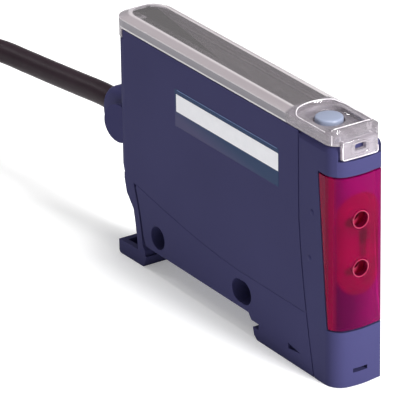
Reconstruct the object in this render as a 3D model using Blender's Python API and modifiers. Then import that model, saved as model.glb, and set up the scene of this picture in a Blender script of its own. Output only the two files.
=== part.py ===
"""A slim fibre optic amplifier for a DIN rail, with its cable.

Metres, +Z up, +X towards the fibre face. The origin is under the middle of the
housing, on the surface it stands on.
"""

import math

import bmesh
import bpy
from mathutils import Matrix, Vector

MM = 0.001
GAP = 0.3 * MM  # between pieces that touch or seat on each other
SEAM = 0.3 * MM  # the visible joint lines of the housing
REACH = 5.0 * MM  # how far a cutter runs past what it cuts

# Housing. Lengths along X are measured back from the fibre face.
CASE_WIDTH = 9.9 * MM
CASE_WALL = 1.4 * MM
REAR_CENTRE = 61.6 * MM  # centre of the round rear end
LEG_TOP = 16.4 * MM  # underside of the round rear end at the leg
REAR_LIFT = 1.1 * MM  # how much higher that underside is at the very back
DECK_THICK = 0.8 * MM
DECK_LEDGE = 0.35 * MM
DECK_FRONT = 3.4 * MM

# Rail leg, foot and recess, for a rail 35 mm wide and 1 mm thick
RAIL_WIDTH = 35.0 * MM
RAIL_PLAY = 0.6 * MM
RAIL_LIP = 1.1 * MM
RECESS_FRONT = 25.0 * MM
RECESS_HEIGHT = 4.3 * MM
HOOK_DEPTH = 2.8 * MM
HOOK_HEIGHT = 2.1 * MM
HOOK_TOE = (2.6 * MM, 0.0)  # the hook's round corner, in front of the recess and up
HOOK_CORNER = (1.7 * MM, 0.7 * MM)
HOOK_TIP = 1.3 * MM
HOOK_DRAFT = 0.1 * MM
HOOK_CHAMFER = 0.9 * MM
LEG_THICK = 1.7 * MM
LEG_SLOT = 0.5 * MM
LEG_SLOT_TOP = 15.2 * MM
LEG_RELIEF = 0.65 * MM  # height of the slope from the notch to the leg
LEG_LEAN = 2.8 * MM  # how far the leg leans back from foot to root
LEG_BOW = 1.9  # how late up its height it does so
CLAW_HEIGHT = 2.25 * MM
CLAW_REACH = 0.5 * MM
FOOT_LENGTH = 7.3 * MM
FOOT_ROUND = 0.7 * MM
FOOT_HEIGHT = 2.7 * MM
FOOT_WALL = 1.1 * MM
FOOT_FLOOR = 0.9 * MM

# Groove between the case and the base strip
GROOVE_REAR = 15.7 * MM
GROOVE_FRONT = 11.2 * MM
GROOVE_FLAT = 28.0 * MM
TONGUE = 2.0 * MM

# Cross holes through the base strip
HOLE_HEIGHT = 7.4 * MM
HOLE_DIAMETER = 4.3 * MM
HOLE_SLOT = 1.5 * MM  # how much longer than wide the front one is
HOLE_FRONT = 27.0 * MM
HOLE_SPACING = 26.2 * MM

# Wedge-shaped latch slots of the base strip, one on each side
LATCH_BACK = 11.4 * MM
LATCH_WEDGE = ((-1.8 * MM, 3.4 * MM), (1.8 * MM, 2.8 * MM), (-1.6 * MM, 2.4 * MM))
LATCH_DEPTH = 0.6 * MM

# Seam between the case and the nose
SEAM_TOP = 9.8 * MM
SEAM_BOTTOM = 5.5 * MM
SEAM_BEND = 30.0 * MM

# Nose and fibre window
NOSE_BULGE = 0.9 * MM
NOSE_CORNER = 2.2 * MM
NOSE_SHOULDER = 1.2 * MM
NOSE_LEDGE = 0.8 * MM  # from the window's edges to the room behind it
NOSE_STRIP = 10.5 * MM  # height below the window
WINDOW_LENGTH = 27.5 * MM
NOSE_BROW = 5.5 * MM  # height above the window
WINDOW_BACK_LOW = 1.6 * MM
WINDOW_BACK_HIGH = 4.0 * MM
WINDOW_THICK = 1.2 * MM
PORT_LIFT = 1.55 * MM  # how far the middle of the ports lies above that of the window
PORT_PITCH = 8.8 * MM
PORT_DIAMETER = 2.9 * MM
PORT_CHAMFER = 0.35 * MM
FIBRE_HOLE = 2.3 * MM
GUIDE_SIDE = 1.65 * MM  # from the guide to the side of the nose
GUIDE_END = 4.2 * MM  # from a port to the guide's end
GUIDE_DEPTH = 4.0 * MM
FRONT_SLOT = (2.9 * MM, 0.75 * MM)  # width and height
FRONT_SLOT_LOW = 2.5 * MM
FRONT_SLOT_DEPTH = 1.0 * MM

# Optics behind the nose
OPTICS_DEPTH = 4.8 * MM
OPTICS_PLAY = 0.45 * MM  # to the case's inner wall
OPTICS_END = 4.1 * MM  # from a port to the block's end
LAMP_DIAMETER = 3.0 * MM
LAMP_LENGTH = 2.5 * MM

# Circuit board, upright in the case
BOARD_THICK = 1.0 * MM
BOARD_OFFSET = 0.8 * MM
BOARD_REAR = 59.5 * MM
BOARD_PLAY = 0.4 * MM  # to the pressed button's stem
BOARD_OPTICS = 1.7 * MM  # to the optics
FINGER_REACH = 2.5 * MM  # in front of the button's axis
FINGER_DROP = 5.2 * MM

# Parts on the board: distance behind the fibre face, height above the tongue, length, height, depth
SIGNAL_CHIP = (29.0 * MM, 13.8 * MM, 8.7 * MM, 3.9 * MM, 1.5 * MM)
OUTPUT_DRIVER = (45.0 * MM, 18.2 * MM, 6.5 * MM, 3.5 * MM, 1.6 * MM)
SHIELD_BACK = 16.5 * MM
SHIELD_SIZE = (8.0 * MM, 7.0 * MM, 2.6 * MM)  # length, height and depth
SHIELD_WALL = 0.3 * MM
CAPACITOR_BACK = 50.0 * MM
CAPACITOR_RISE = 6.9 * MM  # above the tongue
CAPACITOR_LENGTH = 7.0 * MM
CAPACITOR_PLAY = 0.25 * MM  # to the case's inner wall
PART_BEVEL = 0.15 * MM

# Tact switch under the button
SWITCH_LENGTH = 4.0 * MM
SWITCH_HEIGHT = 3.2 * MM
SWITCH_PLAY = 0.65 * MM  # to the case's inner wall
PLUNGER_RADIUS = 0.8 * MM
PLUNGER_RISE = 0.5 * MM
PLUNGER_PLAY = 0.1 * MM  # under the pressed button

# Light guides in the deck
LENS_RADIUS = 1.2 * MM
LENS_FLANGE = 0.5 * MM
OUTPUT_BACK = 18.0 * MM
STABILITY_BACK = 23.0 * MM

# Clear cover
COVER_OVERHANG = 0.15 * MM  # past the case on each side
COVER_HEIGHT = 2.4 * MM
COVER_WALL = 0.9 * MM
COVER_BEVEL = 0.55 * MM
COVER_CORNER = 1.6 * MM
COVER_SETBACK = 0.4 * MM  # of its front corners from the fibre face
SKIRT_DROP = 1.8 * MM
SKIRT_THICK = 0.7 * MM
SKIRT_FRONT = 62.4 * MM
TAB_SIDE = 1.35 * MM  # from the tab to the side of the nose
TAB_DROP = 2.2 * MM  # below the top of the case
TAB_THICK = 0.85 * MM
TAB_FACE = 0.75 * MM  # how far the tab's face stands before the fibre face's edges
TAB_WINDOW = (2.2 * MM, 1.3 * MM)
TAB_WINDOW_DROP = 0.2 * MM  # its middle, below the top of the case
TAB_BEVEL = 0.25 * MM
HINGE_BACK = 66.7 * MM
HINGE_DROP = 1.3 * MM  # below the top of the case

# Button and its pocket in the cover
BUTTON_BACK = 8.1 * MM
BUTTON_RIM = 1.15 * MM  # from the button to the case's inner wall
BUTTON_RISE = 2.0 * MM  # above the top of the case
BUTTON_EDGE = 0.35 * MM
BUTTON_FLANGE = 0.8 * MM
BUTTON_STEM = 0.6 * MM
STEM_RADIUS = 1.0 * MM
BUTTON_PLAY = 0.3 * MM
BUTTON_TRAVEL = 0.5 * MM
POCKET_SIDE = 1.45 * MM  # from the pocket to the side of the cover
POCKET_REACH = 4.2 * MM  # behind the button's axis
POCKET_FRONT = 1.2 * MM
POCKET_FLOOR = 0.7 * MM
POCKET_DEPTH = 1.4 * MM

# Strain relief and cable
CABLE_DIAMETER = 4.2 * MM
CABLE_HEIGHT = 25.2 * MM
DOME_RADIUS = 5.2 * MM
DOME_DROP = 0.4 * MM  # of its middle below the cable's
DOME_SIDE = 1.85 * MM  # from the dome to the side of the case
DOME_ROUND = 1.5 * MM
DOME_REACH = 7.65 * MM  # how far its tip stands behind the case
CHEEK_RADIUS = 3.6 * MM
CHEEK_SIDE = 0.55 * MM  # from the cheek to the side of the case
CHEEK_BACK = 3.5 * MM  # centre, behind that of the round rear end
NECK_DIAMETER = 5.6 * MM
NECK_FLANGE = 1.0 * MM  # its length inside the case
SOCKET_DEPTH = 1.2 * MM

CASE_HEIGHT = NOSE_STRIP + WINDOW_LENGTH + NOSE_BROW
HALF = CASE_WIDTH / 2
DOME_BACK = REAR_CENTRE + HALF + DOME_REACH  # its tip, from the fibre face
NOSE_X = (DOME_BACK - NOSE_BULGE) / 2
INNER = HALF - CASE_WALL
WINDOW_LOW = NOSE_STRIP
WINDOW_HIGH = NOSE_STRIP + WINDOW_LENGTH
PORT_HEIGHT = (WINDOW_LOW + WINDOW_HIGH) / 2 + PORT_LIFT
GUIDE_WIDTH = CASE_WIDTH - 2 * GUIDE_SIDE
GUIDE_LENGTH = PORT_PITCH + 2 * GUIDE_END
GUIDE_REAR = WINDOW_THICK + GAP + GUIDE_DEPTH - NOSE_BULGE  # behind the fibre face's edges
OPTICS_WIDTH = 2 * (INNER - OPTICS_PLAY)
OPTICS_HEIGHT = PORT_PITCH + 2 * OPTICS_END
COVER_LOW = CASE_HEIGHT + SEAM
COVER_TOP = COVER_LOW + COVER_HEIGHT
DECK_LOW = CASE_HEIGHT - DECK_THICK
REAR_X = NOSE_X - REAR_CENTRE
COVER_WIDTH = CASE_WIDTH + 2 * COVER_OVERHANG
TAB_WIDTH = CASE_WIDTH - 2 * TAB_SIDE
TAB_BOTTOM = CASE_HEIGHT - TAB_DROP
TAB_WINDOW_HEIGHT = CASE_HEIGHT - TAB_WINDOW_DROP
BUTTON_X = NOSE_X - BUTTON_BACK
BUTTON_DIAMETER = 2 * (INNER - BUTTON_RIM)
BUTTON_TOP = CASE_HEIGHT + BUTTON_RISE
BUTTON_BASE = DECK_LOW - GAP - BUTTON_FLANGE - BUTTON_STEM
POCKET_WIDTH = COVER_WIDTH - 2 * POCKET_SIDE
POCKET_BACK = BUTTON_BACK + POCKET_REACH
BOARD_TOP = BUTTON_BASE - BUTTON_TRAVEL - BOARD_PLAY
BOARD_FRONT = GUIDE_REAR + GAP + OPTICS_DEPTH + BOARD_OPTICS
BOARD_FINGER = BUTTON_BACK - FINGER_REACH
DOME_X = NOSE_X - DOME_BACK + DOME_RADIUS
DOME_WIDTH = CASE_WIDTH - 2 * DOME_SIDE
DOME_HEIGHT = CABLE_HEIGHT - DOME_DROP
CHEEK_WIDTH = CASE_WIDTH - 2 * CHEEK_SIDE
NECK_FRONT = NOSE_X - REAR_CENTRE - INNER + GAP + NECK_FLANGE


def clear_scene():
    for item in list(bpy.data.objects):
        bpy.data.objects.remove(item, do_unlink=True)


def new_collection(name):
    collection = bpy.data.collections.new(name)
    bpy.context.scene.collection.children.link(collection)
    return collection


def make_material(name, color, roughness, metallic=0.0, alpha=1.0):
    material = bpy.data.materials.new(name)
    material.use_nodes = True
    shader = material.node_tree.nodes["Principled BSDF"]
    shader.inputs["Base Color"].default_value = (*color, 1.0)
    shader.inputs["Roughness"].default_value = roughness
    shader.inputs["Metallic"].default_value = metallic
    shader.inputs["Alpha"].default_value = alpha
    return material


def back(distance):
    """The X of a place that lies this far behind the fibre face."""
    return NOSE_X - distance


def new_object(name, bm, collection, material=None):
    mesh = bpy.data.meshes.new(name)
    bm.to_mesh(mesh)
    bm.free()
    item = bpy.data.objects.new(name, mesh)
    collection.objects.link(item)
    if material is not None:
        mesh.materials.append(material)
        mesh.shade_smooth()
        mesh.set_sharp_from_angle(angle=math.radians(30))
    else:
        item.hide_render = True
        item.display_type = "WIRE"
    return item


def boolean(item, tool, operation):
    modifier = item.modifiers.new(f"{operation.lower()} {tool.name}", "BOOLEAN")
    modifier.object = tool
    modifier.operation = operation
    modifier.solver = "EXACT"


def cut(item, *tools):
    for tool in tools:
        boolean(item, tool, "DIFFERENCE")


def join(item, *tools):
    for tool in tools:
        boolean(item, tool, "UNION")


def keep_inside(item, tool):
    boolean(item, tool, "INTERSECT")


def mesh_from_curve(name, item):
    """Makes an evaluated curve a welded mesh and removes the curve."""
    depsgraph = bpy.context.evaluated_depsgraph_get()
    mesh = bpy.data.meshes.new_from_object(item.evaluated_get(depsgraph))
    bm = bmesh.new()
    bm.from_mesh(mesh)
    bm.transform(item.matrix_world)
    bmesh.ops.remove_doubles(bm, verts=bm.verts, dist=1e-7)
    bpy.data.objects.remove(item, do_unlink=True)
    bpy.data.meshes.remove(mesh)
    return bm


def flat_curve(name, outline, thickness):
    curve = bpy.data.curves.new(name, "CURVE")
    curve.dimensions = "2D"
    curve.fill_mode = "BOTH"
    curve.extrude = thickness / 2
    spline = curve.splines.new("POLY")
    spline.points.add(len(outline) - 1)
    for point, (a, b) in zip(spline.points, outline):
        point.co = (a, b, 0.0, 1.0)
    spline.use_cyclic_u = True
    item = bpy.data.objects.new(name, curve)
    bpy.context.scene.collection.objects.link(item)
    return item


def finish_prism(name, item, collection, material, rim_bevel=0.0, rim_z=None):
    bpy.context.view_layer.update()
    bm = mesh_from_curve(name, item)
    bmesh.ops.dissolve_limit(bm, angle_limit=0.001, verts=bm.verts, edges=bm.edges)
    if rim_bevel:
        rim = [
            edge
            for edge in bm.edges
            if all(abs(vert.co.z - rim_z) < 1e-7 for vert in edge.verts)
        ]
        bmesh.ops.bevel(
            bm, geom=rim, offset=rim_bevel, segments=3, profile=0.5, affect="EDGES"
        )
    bmesh.ops.recalc_face_normals(bm, faces=bm.faces)
    return new_object(name, bm, collection, material)


def side_prism(name, outline, width, collection, material=None, y=0.0):
    """An outline in X and Z, pulled out along Y to the width, centred on y."""
    item = flat_curve(name, outline, width)
    item.rotation_euler = (math.radians(90), 0.0, 0.0)
    item.location = (0.0, y, 0.0)
    return finish_prism(name, item, collection, material)


def plan_prism(name, outline, low, high, collection, material=None, rim_bevel=0.0):
    """An outline in X and Y, pulled up from low to high."""
    item = flat_curve(name, outline, high - low)
    item.location = (0.0, 0.0, (low + high) / 2)
    return finish_prism(name, item, collection, material, rim_bevel, high)


def front_prism(name, outline, rear, front, collection, material=None):
    """An outline in Y and Z, pulled out along X from rear to front."""
    item = flat_curve(name, outline, front - rear)
    item.rotation_euler = (math.radians(90), 0.0, math.radians(90))
    item.location = ((rear + front) / 2, 0.0, 0.0)
    return finish_prism(name, item, collection, material)


def block(name, low, high, collection, material=None, bevel=0.0):
    bm = bmesh.new()
    size = [b - a for a, b in zip(low, high)]
    middle = [(a + b) / 2 for a, b in zip(low, high)]
    bmesh.ops.create_cube(
        bm, size=1.0, matrix=Matrix.Translation(middle) @ Matrix.Diagonal((*size, 1.0))
    )
    if bevel:
        bmesh.ops.bevel(
            bm, geom=bm.edges[:], offset=bevel, segments=2, profile=0.5, affect="EDGES"
        )
    return new_object(name, bm, collection, material)


AXES = {
    "X": Matrix.Rotation(math.radians(90), 4, "Y"),
    "Y": Matrix.Rotation(math.radians(-90), 4, "X"),
    "Z": Matrix.Identity(4),
}


def rod(name, middle, radius, length, axis, collection, material=None, sides=32):
    """A plain cylinder along an axis."""
    bm = bmesh.new()
    bmesh.ops.create_cone(
        bm,
        cap_ends=True,
        segments=sides,
        radius1=radius,
        radius2=radius,
        depth=length,
        matrix=Matrix.Translation(middle) @ AXES[axis],
    )
    return new_object(name, bm, collection, material)


def cone(name, middle, low_radius, high_radius, length, axis, collection, sides=32):
    bm = bmesh.new()
    bmesh.ops.create_cone(
        bm,
        cap_ends=True,
        segments=sides,
        radius1=low_radius,
        radius2=high_radius,
        depth=length,
        matrix=Matrix.Translation(middle) @ AXES[axis],
    )
    return new_object(name, bm, collection)


def turned(name, profile, place, axis, collection, material, steps=32):
    """A profile of (radius, height) from the top down, turned about an axis."""
    bm = bmesh.new()
    verts = [bm.verts.new((radius, 0.0, height)) for radius, height in profile]
    for a, b in zip(verts, verts[1:]):
        bm.edges.new((a, b))
    mesh = bpy.data.meshes.new(name)
    bm.to_mesh(mesh)
    bm.free()
    item = bpy.data.objects.new(name, mesh)
    collection.objects.link(item)
    screw = item.modifiers.new("turn", "SCREW")
    screw.axis = "Z"
    screw.steps = screw.render_steps = steps
    screw.use_merge_vertices = True
    screw.merge_threshold = 0.00001
    item.matrix_world = Matrix.Translation(place) @ AXES[axis]
    mesh.materials.append(material)
    return item


def arc(x, y, radius, start, end, steps):
    """Points on a circle from one angle to another, in degrees."""
    points = []
    for k in range(steps + 1):
        angle = math.radians(start + (end - start) * k / steps)
        points.append((x + radius * math.cos(angle), y + radius * math.sin(angle)))
    return points


def round_corners(corners, steps=4):
    """Corners (a, b, radius) with an arc of that radius at each."""
    points = []
    count = len(corners)
    for k, (a, b, radius) in enumerate(corners):
        here = Vector((a, b))
        if not radius:
            points.append((a, b))
            continue
        before = (Vector(corners[k - 1][:2]) - here).normalized()
        after = (Vector(corners[(k + 1) % count][:2]) - here).normalized()
        half = before.angle(after) / 2
        centre = here + (before + after).normalized() * (radius / math.sin(half))
        first = here + before * (radius / math.tan(half)) - centre
        last = here + after * (radius / math.tan(half)) - centre
        turn = math.atan2(first.x * last.y - first.y * last.x, first.dot(last))
        for step in range(steps + 1):
            angle = turn * step / steps
            c, s = math.cos(angle), math.sin(angle)
            spoke = Vector((first.x * c - first.y * s, first.x * s + first.y * c))
            points.append(tuple(centre + spoke))
    return points


def nose_edge(half, corner, bulge, face, steps=5):
    """The front edge in plan, from +Y to -Y: a slight bow between round corners."""
    ys = [half - corner * (1 - math.cos(math.radians(90 * k / steps))) for k in range(steps + 1)]
    flat = half - corner
    ys += [flat * (1 - 2 * k / steps) for k in range(1, steps)]
    ys += [-y for y in reversed(ys[: steps + 1])]
    points = []
    for y in ys:
        past = max(0.0, abs(y) - flat)
        drop = corner - math.sqrt(max(0.0, corner * corner - past * past))
        points.append((face + bulge * (1 - (y / half) ** 2) - drop, y))
    return points


def stadium_plan(half, rear_centre, front, grow=0.0):
    """A plan with a half-round rear end and a square front end at X = front."""
    radius = half + grow
    points = arc(rear_centre, 0.0, radius, 90, 270, 16)
    return points + [(front, -radius), (front, radius)]


def housing_plan(half, rear_centre, corner, bulge, face):
    """A plan with a half-round rear end and the nose's bowed front."""
    rear = arc(rear_centre, 0.0, half, 270, 90, 16)
    return rear + nose_edge(half, corner, bulge, face)


def groove_height(x):
    """Height of the groove: it falls in a shallow curve from the leg, then runs level."""
    behind = NOSE_X - x
    if behind <= GROOVE_FLAT:
        return GROOVE_FRONT
    leg = REAR_CENTRE - GROOVE_FLAT
    share = (behind - GROOVE_FLAT) / leg
    return GROOVE_FRONT + (GROOVE_REAR - GROOVE_FRONT) * share ** 1.5


def groove_line(front, rear, lift, steps=10):
    """Points along the groove from front to rear, raised by lift."""
    xs = [front + (rear - front) * k / steps for k in range(steps + 1)]
    return [(x, groove_height(x) + lift) for x in xs]


def seam_x(z):
    """X of the seam between case and nose at a height: upright, then bending forward."""
    share = max(0.0, (SEAM_BEND - z) / SEAM_BEND)
    return back(SEAM_TOP) + (SEAM_TOP - SEAM_BOTTOM) * share ** 1.5


def seam_line(low, high, shift, steps=8):
    """Points up the seam from low to high, moved along X by shift."""
    zs = [low + (high - low) * k / steps for k in range(steps + 1)]
    return [(seam_x(z) + shift, z) for z in zs]


def foot_front():
    """X of the rear end of the rail space, at the notch in the foot."""
    return back(RECESS_FRONT - HOOK_DEPTH - GAP + RAIL_WIDTH + RAIL_PLAY)


def leg_line(offset, low, high, steps=5):
    """Points up the leg, which leans back towards its root."""
    points = []
    for k in range(steps + 1):
        z = low + (high - low) * k / steps
        lean = LEG_LEAN * (z / LEG_SLOT_TOP) ** LEG_BOW
        points.append((foot_front() - offset - lean, z))
    return points


def case_outline():
    """The case seen from the side, with the rail leg and its foot."""
    half_seam = SEAM / 2
    rear = back(REAR_CENTRE + HALF) - REACH
    front = foot_front()
    leg_rear = LEG_SLOT + LEG_THICK
    root = leg_line(leg_rear, 0.0, LEG_SLOT_TOP)[-1][0]
    lifted = LEG_TOP + REAR_LIFT
    outline = [(seam_x(CASE_HEIGHT) - half_seam, CASE_HEIGHT), (rear, CASE_HEIGHT)]
    outline += [(rear, lifted), (root - REAR_LIFT, lifted), (root, LEG_TOP)]
    outline += leg_line(leg_rear, FOOT_HEIGHT, LEG_SLOT_TOP)[::-1]
    outline += [(front - FOOT_LENGTH, FOOT_HEIGHT)]
    outline += arc(front - FOOT_LENGTH + FOOT_ROUND, FOOT_ROUND, FOOT_ROUND, 180, 270, 4)
    outline += [(front + CLAW_REACH - CLAW_HEIGHT / 2, 0.0), (front + CLAW_REACH, CLAW_HEIGHT)]
    outline += [(front, CLAW_HEIGHT), (front, CLAW_HEIGHT + RAIL_LIP)]
    inner = leg_line(LEG_SLOT, CLAW_HEIGHT + RAIL_LIP + LEG_RELIEF, LEG_SLOT_TOP)
    outline += inner
    groove = groove_line(inner[-1][0] + LEG_SLOT, seam_x(GROOVE_FRONT), half_seam)
    outline += [(inner[-1][0] + LEG_SLOT / 2, groove[0][1])]
    outline += groove[:-1]
    outline += seam_line(GROOVE_FRONT + half_seam, CASE_HEIGHT, -half_seam)[:-1]
    return outline


def make_case(parts, tools, material):
    """The electronics case, with the rail leg and foot moulded on."""
    rear = back(REAR_CENTRE + HALF)
    case = side_prism("main_case", case_outline(), CASE_WIDTH, parts, material)
    corners = arc(REAR_X, 0.0, HALF, 90, 270, 16)
    corners += [(REAR_X, -HALF - REACH), (rear - 2 * REACH, -HALF - REACH)]
    corners += [(rear - 2 * REACH, HALF + REACH), (REAR_X, HALF + REACH)]
    cut(case, plan_prism("rear corners", corners, LEG_TOP, CASE_HEIGHT + REACH, tools))
    front = foot_front()
    pocket = block(
        "screwdriver pocket",
        (front - FOOT_LENGTH + FOOT_WALL, -HALF + FOOT_WALL, FOOT_FLOOR),
        (front - LEG_SLOT - LEG_THICK - FOOT_WALL, HALF - FOOT_WALL, FOOT_HEIGHT + REACH),
        tools,
    )
    cut(case, pocket)
    cheek_x = REAR_X - CHEEK_BACK
    cheek = rod("cheek", (cheek_x, 0, DOME_HEIGHT), CHEEK_RADIUS, CHEEK_WIDTH, "Y", tools)
    join(case, cheek)

    cavity = stadium_plan(INNER, REAR_X, NOSE_X)
    room = plan_prism("case room", cavity, GROOVE_FRONT - REACH, CASE_HEIGHT + REACH, tools)
    root = back(REAR_CENTRE - CASE_WALL)
    floor = LEG_TOP + REAR_LIFT + CASE_WALL
    side = [(rear - REACH, floor), (root, floor), (root, 0.0), (NOSE_X + REACH, 0.0)]
    side += [(NOSE_X + REACH, CASE_HEIGHT + 2 * REACH), (rear - REACH, CASE_HEIGHT + 2 * REACH)]
    keep_inside(room, side_prism("case room side", side, CASE_WIDTH, tools))
    ledge = block(
        "deck rebate",
        (REAR_X, -INNER - DECK_LEDGE, DECK_LOW - GAP),
        (NOSE_X, INNER + DECK_LEDGE, CASE_HEIGHT + REACH),
        tools,
    )
    cable_way = rod(
        "cable way", (rear, 0, CABLE_HEIGHT), NECK_DIAMETER / 2 + GAP, 4 * REACH, "X", tools
    )
    dome_way = side_prism("dome way", dome_outline(GAP), DOME_WIDTH + 2 * GAP, tools)
    behind = stadium_plan(HALF, REAR_X, NOSE_X, grow=-GAP)
    cut(dome_way, plan_prism("dome way stop", behind, 0, CASE_HEIGHT, tools))
    cut(case, room, ledge, cable_way, dome_way, skirt_recess(tools))
    return case


def skirt_recess(tools):
    """The step round the rear end that the cover's skirt hangs in."""
    radius = COVER_WIDTH / 2 - SKIRT_THICK - GAP
    front = back(SKIRT_FRONT - GAP)
    turn = math.degrees(math.acos((front - REAR_X) / radius))
    far = back(REAR_CENTRE + HALF) - REACH
    outline = arc(REAR_X, 0.0, radius, turn, 360 - turn, 16)
    outline += [(front, -HALF - REACH), (far, -HALF - REACH)]
    outline += [(far, HALF + REACH), (front, HALF + REACH)]
    low = COVER_LOW - SKIRT_DROP - GAP
    return plan_prism("skirt recess", outline, low, CASE_HEIGHT + REACH, tools)


def dome_outline(grow=0.0):
    """The boss seen from the side: a round end and level flanks that run into the case."""
    radius = DOME_RADIUS + grow
    points = arc(DOME_X, DOME_HEIGHT, radius, 90, 270, 20)
    return points + [(REAR_X, DOME_HEIGHT - radius), (REAR_X, DOME_HEIGHT + radius)]


def make_base(parts, tools, material):
    """The strip with the rail recess, the fixed hook and the cross holes."""
    half_seam = SEAM / 2
    ceiling = RECESS_HEIGHT
    hook = back(RECESS_FRONT)
    notch = hook + HOOK_DEPTH + GAP
    outline = [(seam_x(0) - half_seam, 0.0)]
    outline += [(hook + ahead, z) for ahead, z in (HOOK_TOE, HOOK_CORNER, (HOOK_TIP, HOOK_HEIGHT))]
    outline += [(notch, HOOK_HEIGHT + HOOK_DRAFT), (notch, HOOK_HEIGHT + RAIL_LIP)]
    outline += [(hook + HOOK_CHAMFER, HOOK_HEIGHT + RAIL_LIP)]
    outline += [(hook, ceiling), (foot_front() + GAP, ceiling)]
    end = seam_x(GROOVE_FRONT) - half_seam
    top = leg_line(0.0, 0.0, LEG_SLOT_TOP)[-1][0]
    outline += leg_line(0.0, ceiling, LEG_SLOT_TOP - 2 * GAP)[1:]
    outline += groove_line(top + GAP, end, -half_seam)
    outline += seam_line(0.0, GROOVE_FRONT - half_seam, -half_seam)[1:-1][::-1]
    base = side_prism("base_strip", outline, CASE_WIDTH, parts, material)

    rear = back(BOARD_REAR)
    front = seam_x(GROOVE_FRONT) - SEAM
    tongue = groove_line(rear, front, TONGUE) + groove_line(front, rear, -TONGUE)
    join(base, side_prism("tongue", tongue, 2 * (INNER - GAP), tools))

    radius = HOLE_DIAMETER / 2
    through = 2 * CASE_WIDTH
    hole_rear = (back(HOLE_FRONT + HOLE_SPACING), 0, HOLE_HEIGHT)
    round_hole = rod("rear hole", hole_rear, radius, through, "Y", tools, sides=28)
    middle = back(HOLE_FRONT)
    slot = arc(middle - HOLE_SLOT / 2, HOLE_HEIGHT, radius, 90, 270, 12)
    slot += arc(middle + HOLE_SLOT / 2, HOLE_HEIGHT, radius, -90, 90, 12)
    slot_hole = side_prism("front hole", slot, through, tools)
    cut(base, round_hole, slot_hole)
    wedge = [(back(LATCH_BACK) + ahead, z) for ahead, z in LATCH_WEDGE]
    for name, y in (("near", -HALF), ("far", HALF)):
        cut(base, side_prism(f"{name} latch slot", wedge, 2 * LATCH_DEPTH, tools, y=y))
    return base


def window_back(z):
    """X of the window's rear edge on the side of the nose."""
    share = (z - WINDOW_LOW) / (WINDOW_HIGH - WINDOW_LOW)
    return back(WINDOW_BACK_LOW + (WINDOW_BACK_HIGH - WINDOW_BACK_LOW) * share)


def window_band(low, high, shift, front):
    outline = [(window_back(low) + shift, low), (front, low), (front, high)]
    return outline + [(window_back(high) + shift, high)]


def stadium_front(width, length, middle, steps=10):
    """An upright stadium in Y and Z."""
    radius = width / 2
    reach = length / 2 - radius
    points = arc(0.0, middle + reach, radius, 0, 180, steps)
    return points + arc(0.0, middle - reach, radius, 180, 360, steps)


def port_heights():
    return PORT_HEIGHT + PORT_PITCH / 2, PORT_HEIGHT - PORT_PITCH / 2


def make_nose(parts, tools, material):
    """The front moulding: bowed face, round upright corners, seats for window, guide and tab."""
    half_seam = SEAM / 2
    front = NOSE_X + REACH
    plan = [(back(SEAM_TOP) - REACH, HALF)] + nose_edge(HALF, NOSE_CORNER, NOSE_BULGE, NOSE_X)
    plan += [(back(SEAM_TOP) - REACH, -HALF)]
    nose = plan_prism("nose_block", plan[::-1], 0.0, CASE_HEIGHT, parts, material, NOSE_SHOULDER)
    side = seam_line(-REACH, CASE_HEIGHT + REACH, half_seam)
    side = [(front, -REACH)] + side + [(front, CASE_HEIGHT + REACH)]
    keep_inside(nose, side_prism("nose side", side, 2 * CASE_WIDTH, tools))

    seat = side_prism(
        "window seat",
        window_band(WINDOW_LOW - GAP, WINDOW_HIGH + GAP, -GAP, front),
        2 * CASE_WIDTH,
        tools,
    )
    inner = inner_plan(WINDOW_THICK + GAP)
    cut(seat, plan_prism("window seat core", inner, 0.0, CASE_HEIGHT, tools))

    room_front = back(GUIDE_REAR)
    room = block(
        "nose room",
        (back(SEAM_TOP) - REACH, -INNER, WINDOW_LOW + NOSE_LEDGE),
        (room_front, INNER, WINDOW_HIGH - NOSE_LEDGE),
        tools,
    )
    top_room = block(
        "nose top room",
        (back(SEAM_TOP) - REACH, -INNER, WINDOW_LOW + NOSE_LEDGE),
        (back(DECK_FRONT + DECK_LEDGE), INNER, CASE_HEIGHT + REACH),
        tools,
    )
    keep_wall = block(
        "nose top stop",
        (room_front, -CASE_WIDTH, 0.0),
        (front, CASE_WIDTH, WINDOW_HIGH + NOSE_LEDGE),
        tools,
    )
    cut(top_room, keep_wall)
    rebate = block(
        "nose deck rebate",
        (back(SEAM_TOP) - REACH, -INNER - DECK_LEDGE, DECK_LOW - GAP),
        (back(DECK_FRONT - GAP), INNER + DECK_LEDGE, CASE_HEIGHT + REACH),
        tools,
    )
    guide_hole = front_prism(
        "guide hole",
        stadium_front(GUIDE_WIDTH + 2 * GAP, GUIDE_LENGTH + 2 * GAP, PORT_HEIGHT),
        room_front - REACH,
        front,
        tools,
    )
    tab_seat = block(
        "tab seat",
        (NOSE_X + TAB_FACE - TAB_THICK - GAP, -TAB_WIDTH / 2 - GAP, TAB_BOTTOM - GAP),
        (front, TAB_WIDTH / 2 + GAP, CASE_HEIGHT + REACH),
        tools,
    )
    slot_width, slot_height = FRONT_SLOT
    slot = block(
        "front latch slot",
        (NOSE_X - FRONT_SLOT_DEPTH, -slot_width / 2, FRONT_SLOT_LOW),
        (front, slot_width / 2, FRONT_SLOT_LOW + slot_height),
        tools,
    )
    cut(nose, seat, room, top_room, rebate, guide_hole, tab_seat, slot)
    return nose


def inner_plan(depth):
    """The nose's plan, drawn in by a depth."""
    rear = back(SEAM_TOP) - REACH
    half = HALF - depth
    corner = max(NOSE_CORNER - depth, GAP)
    edge = nose_edge(half, corner, NOSE_BULGE * (half / HALF) ** 2, 0.0)
    tip = edge[len(edge) // 2][0]
    shift = NOSE_X + NOSE_BULGE - depth - tip
    points = [(rear, half)] + [(x + shift, y) for x, y in edge] + [(rear, -half)]
    return points[::-1]


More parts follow.
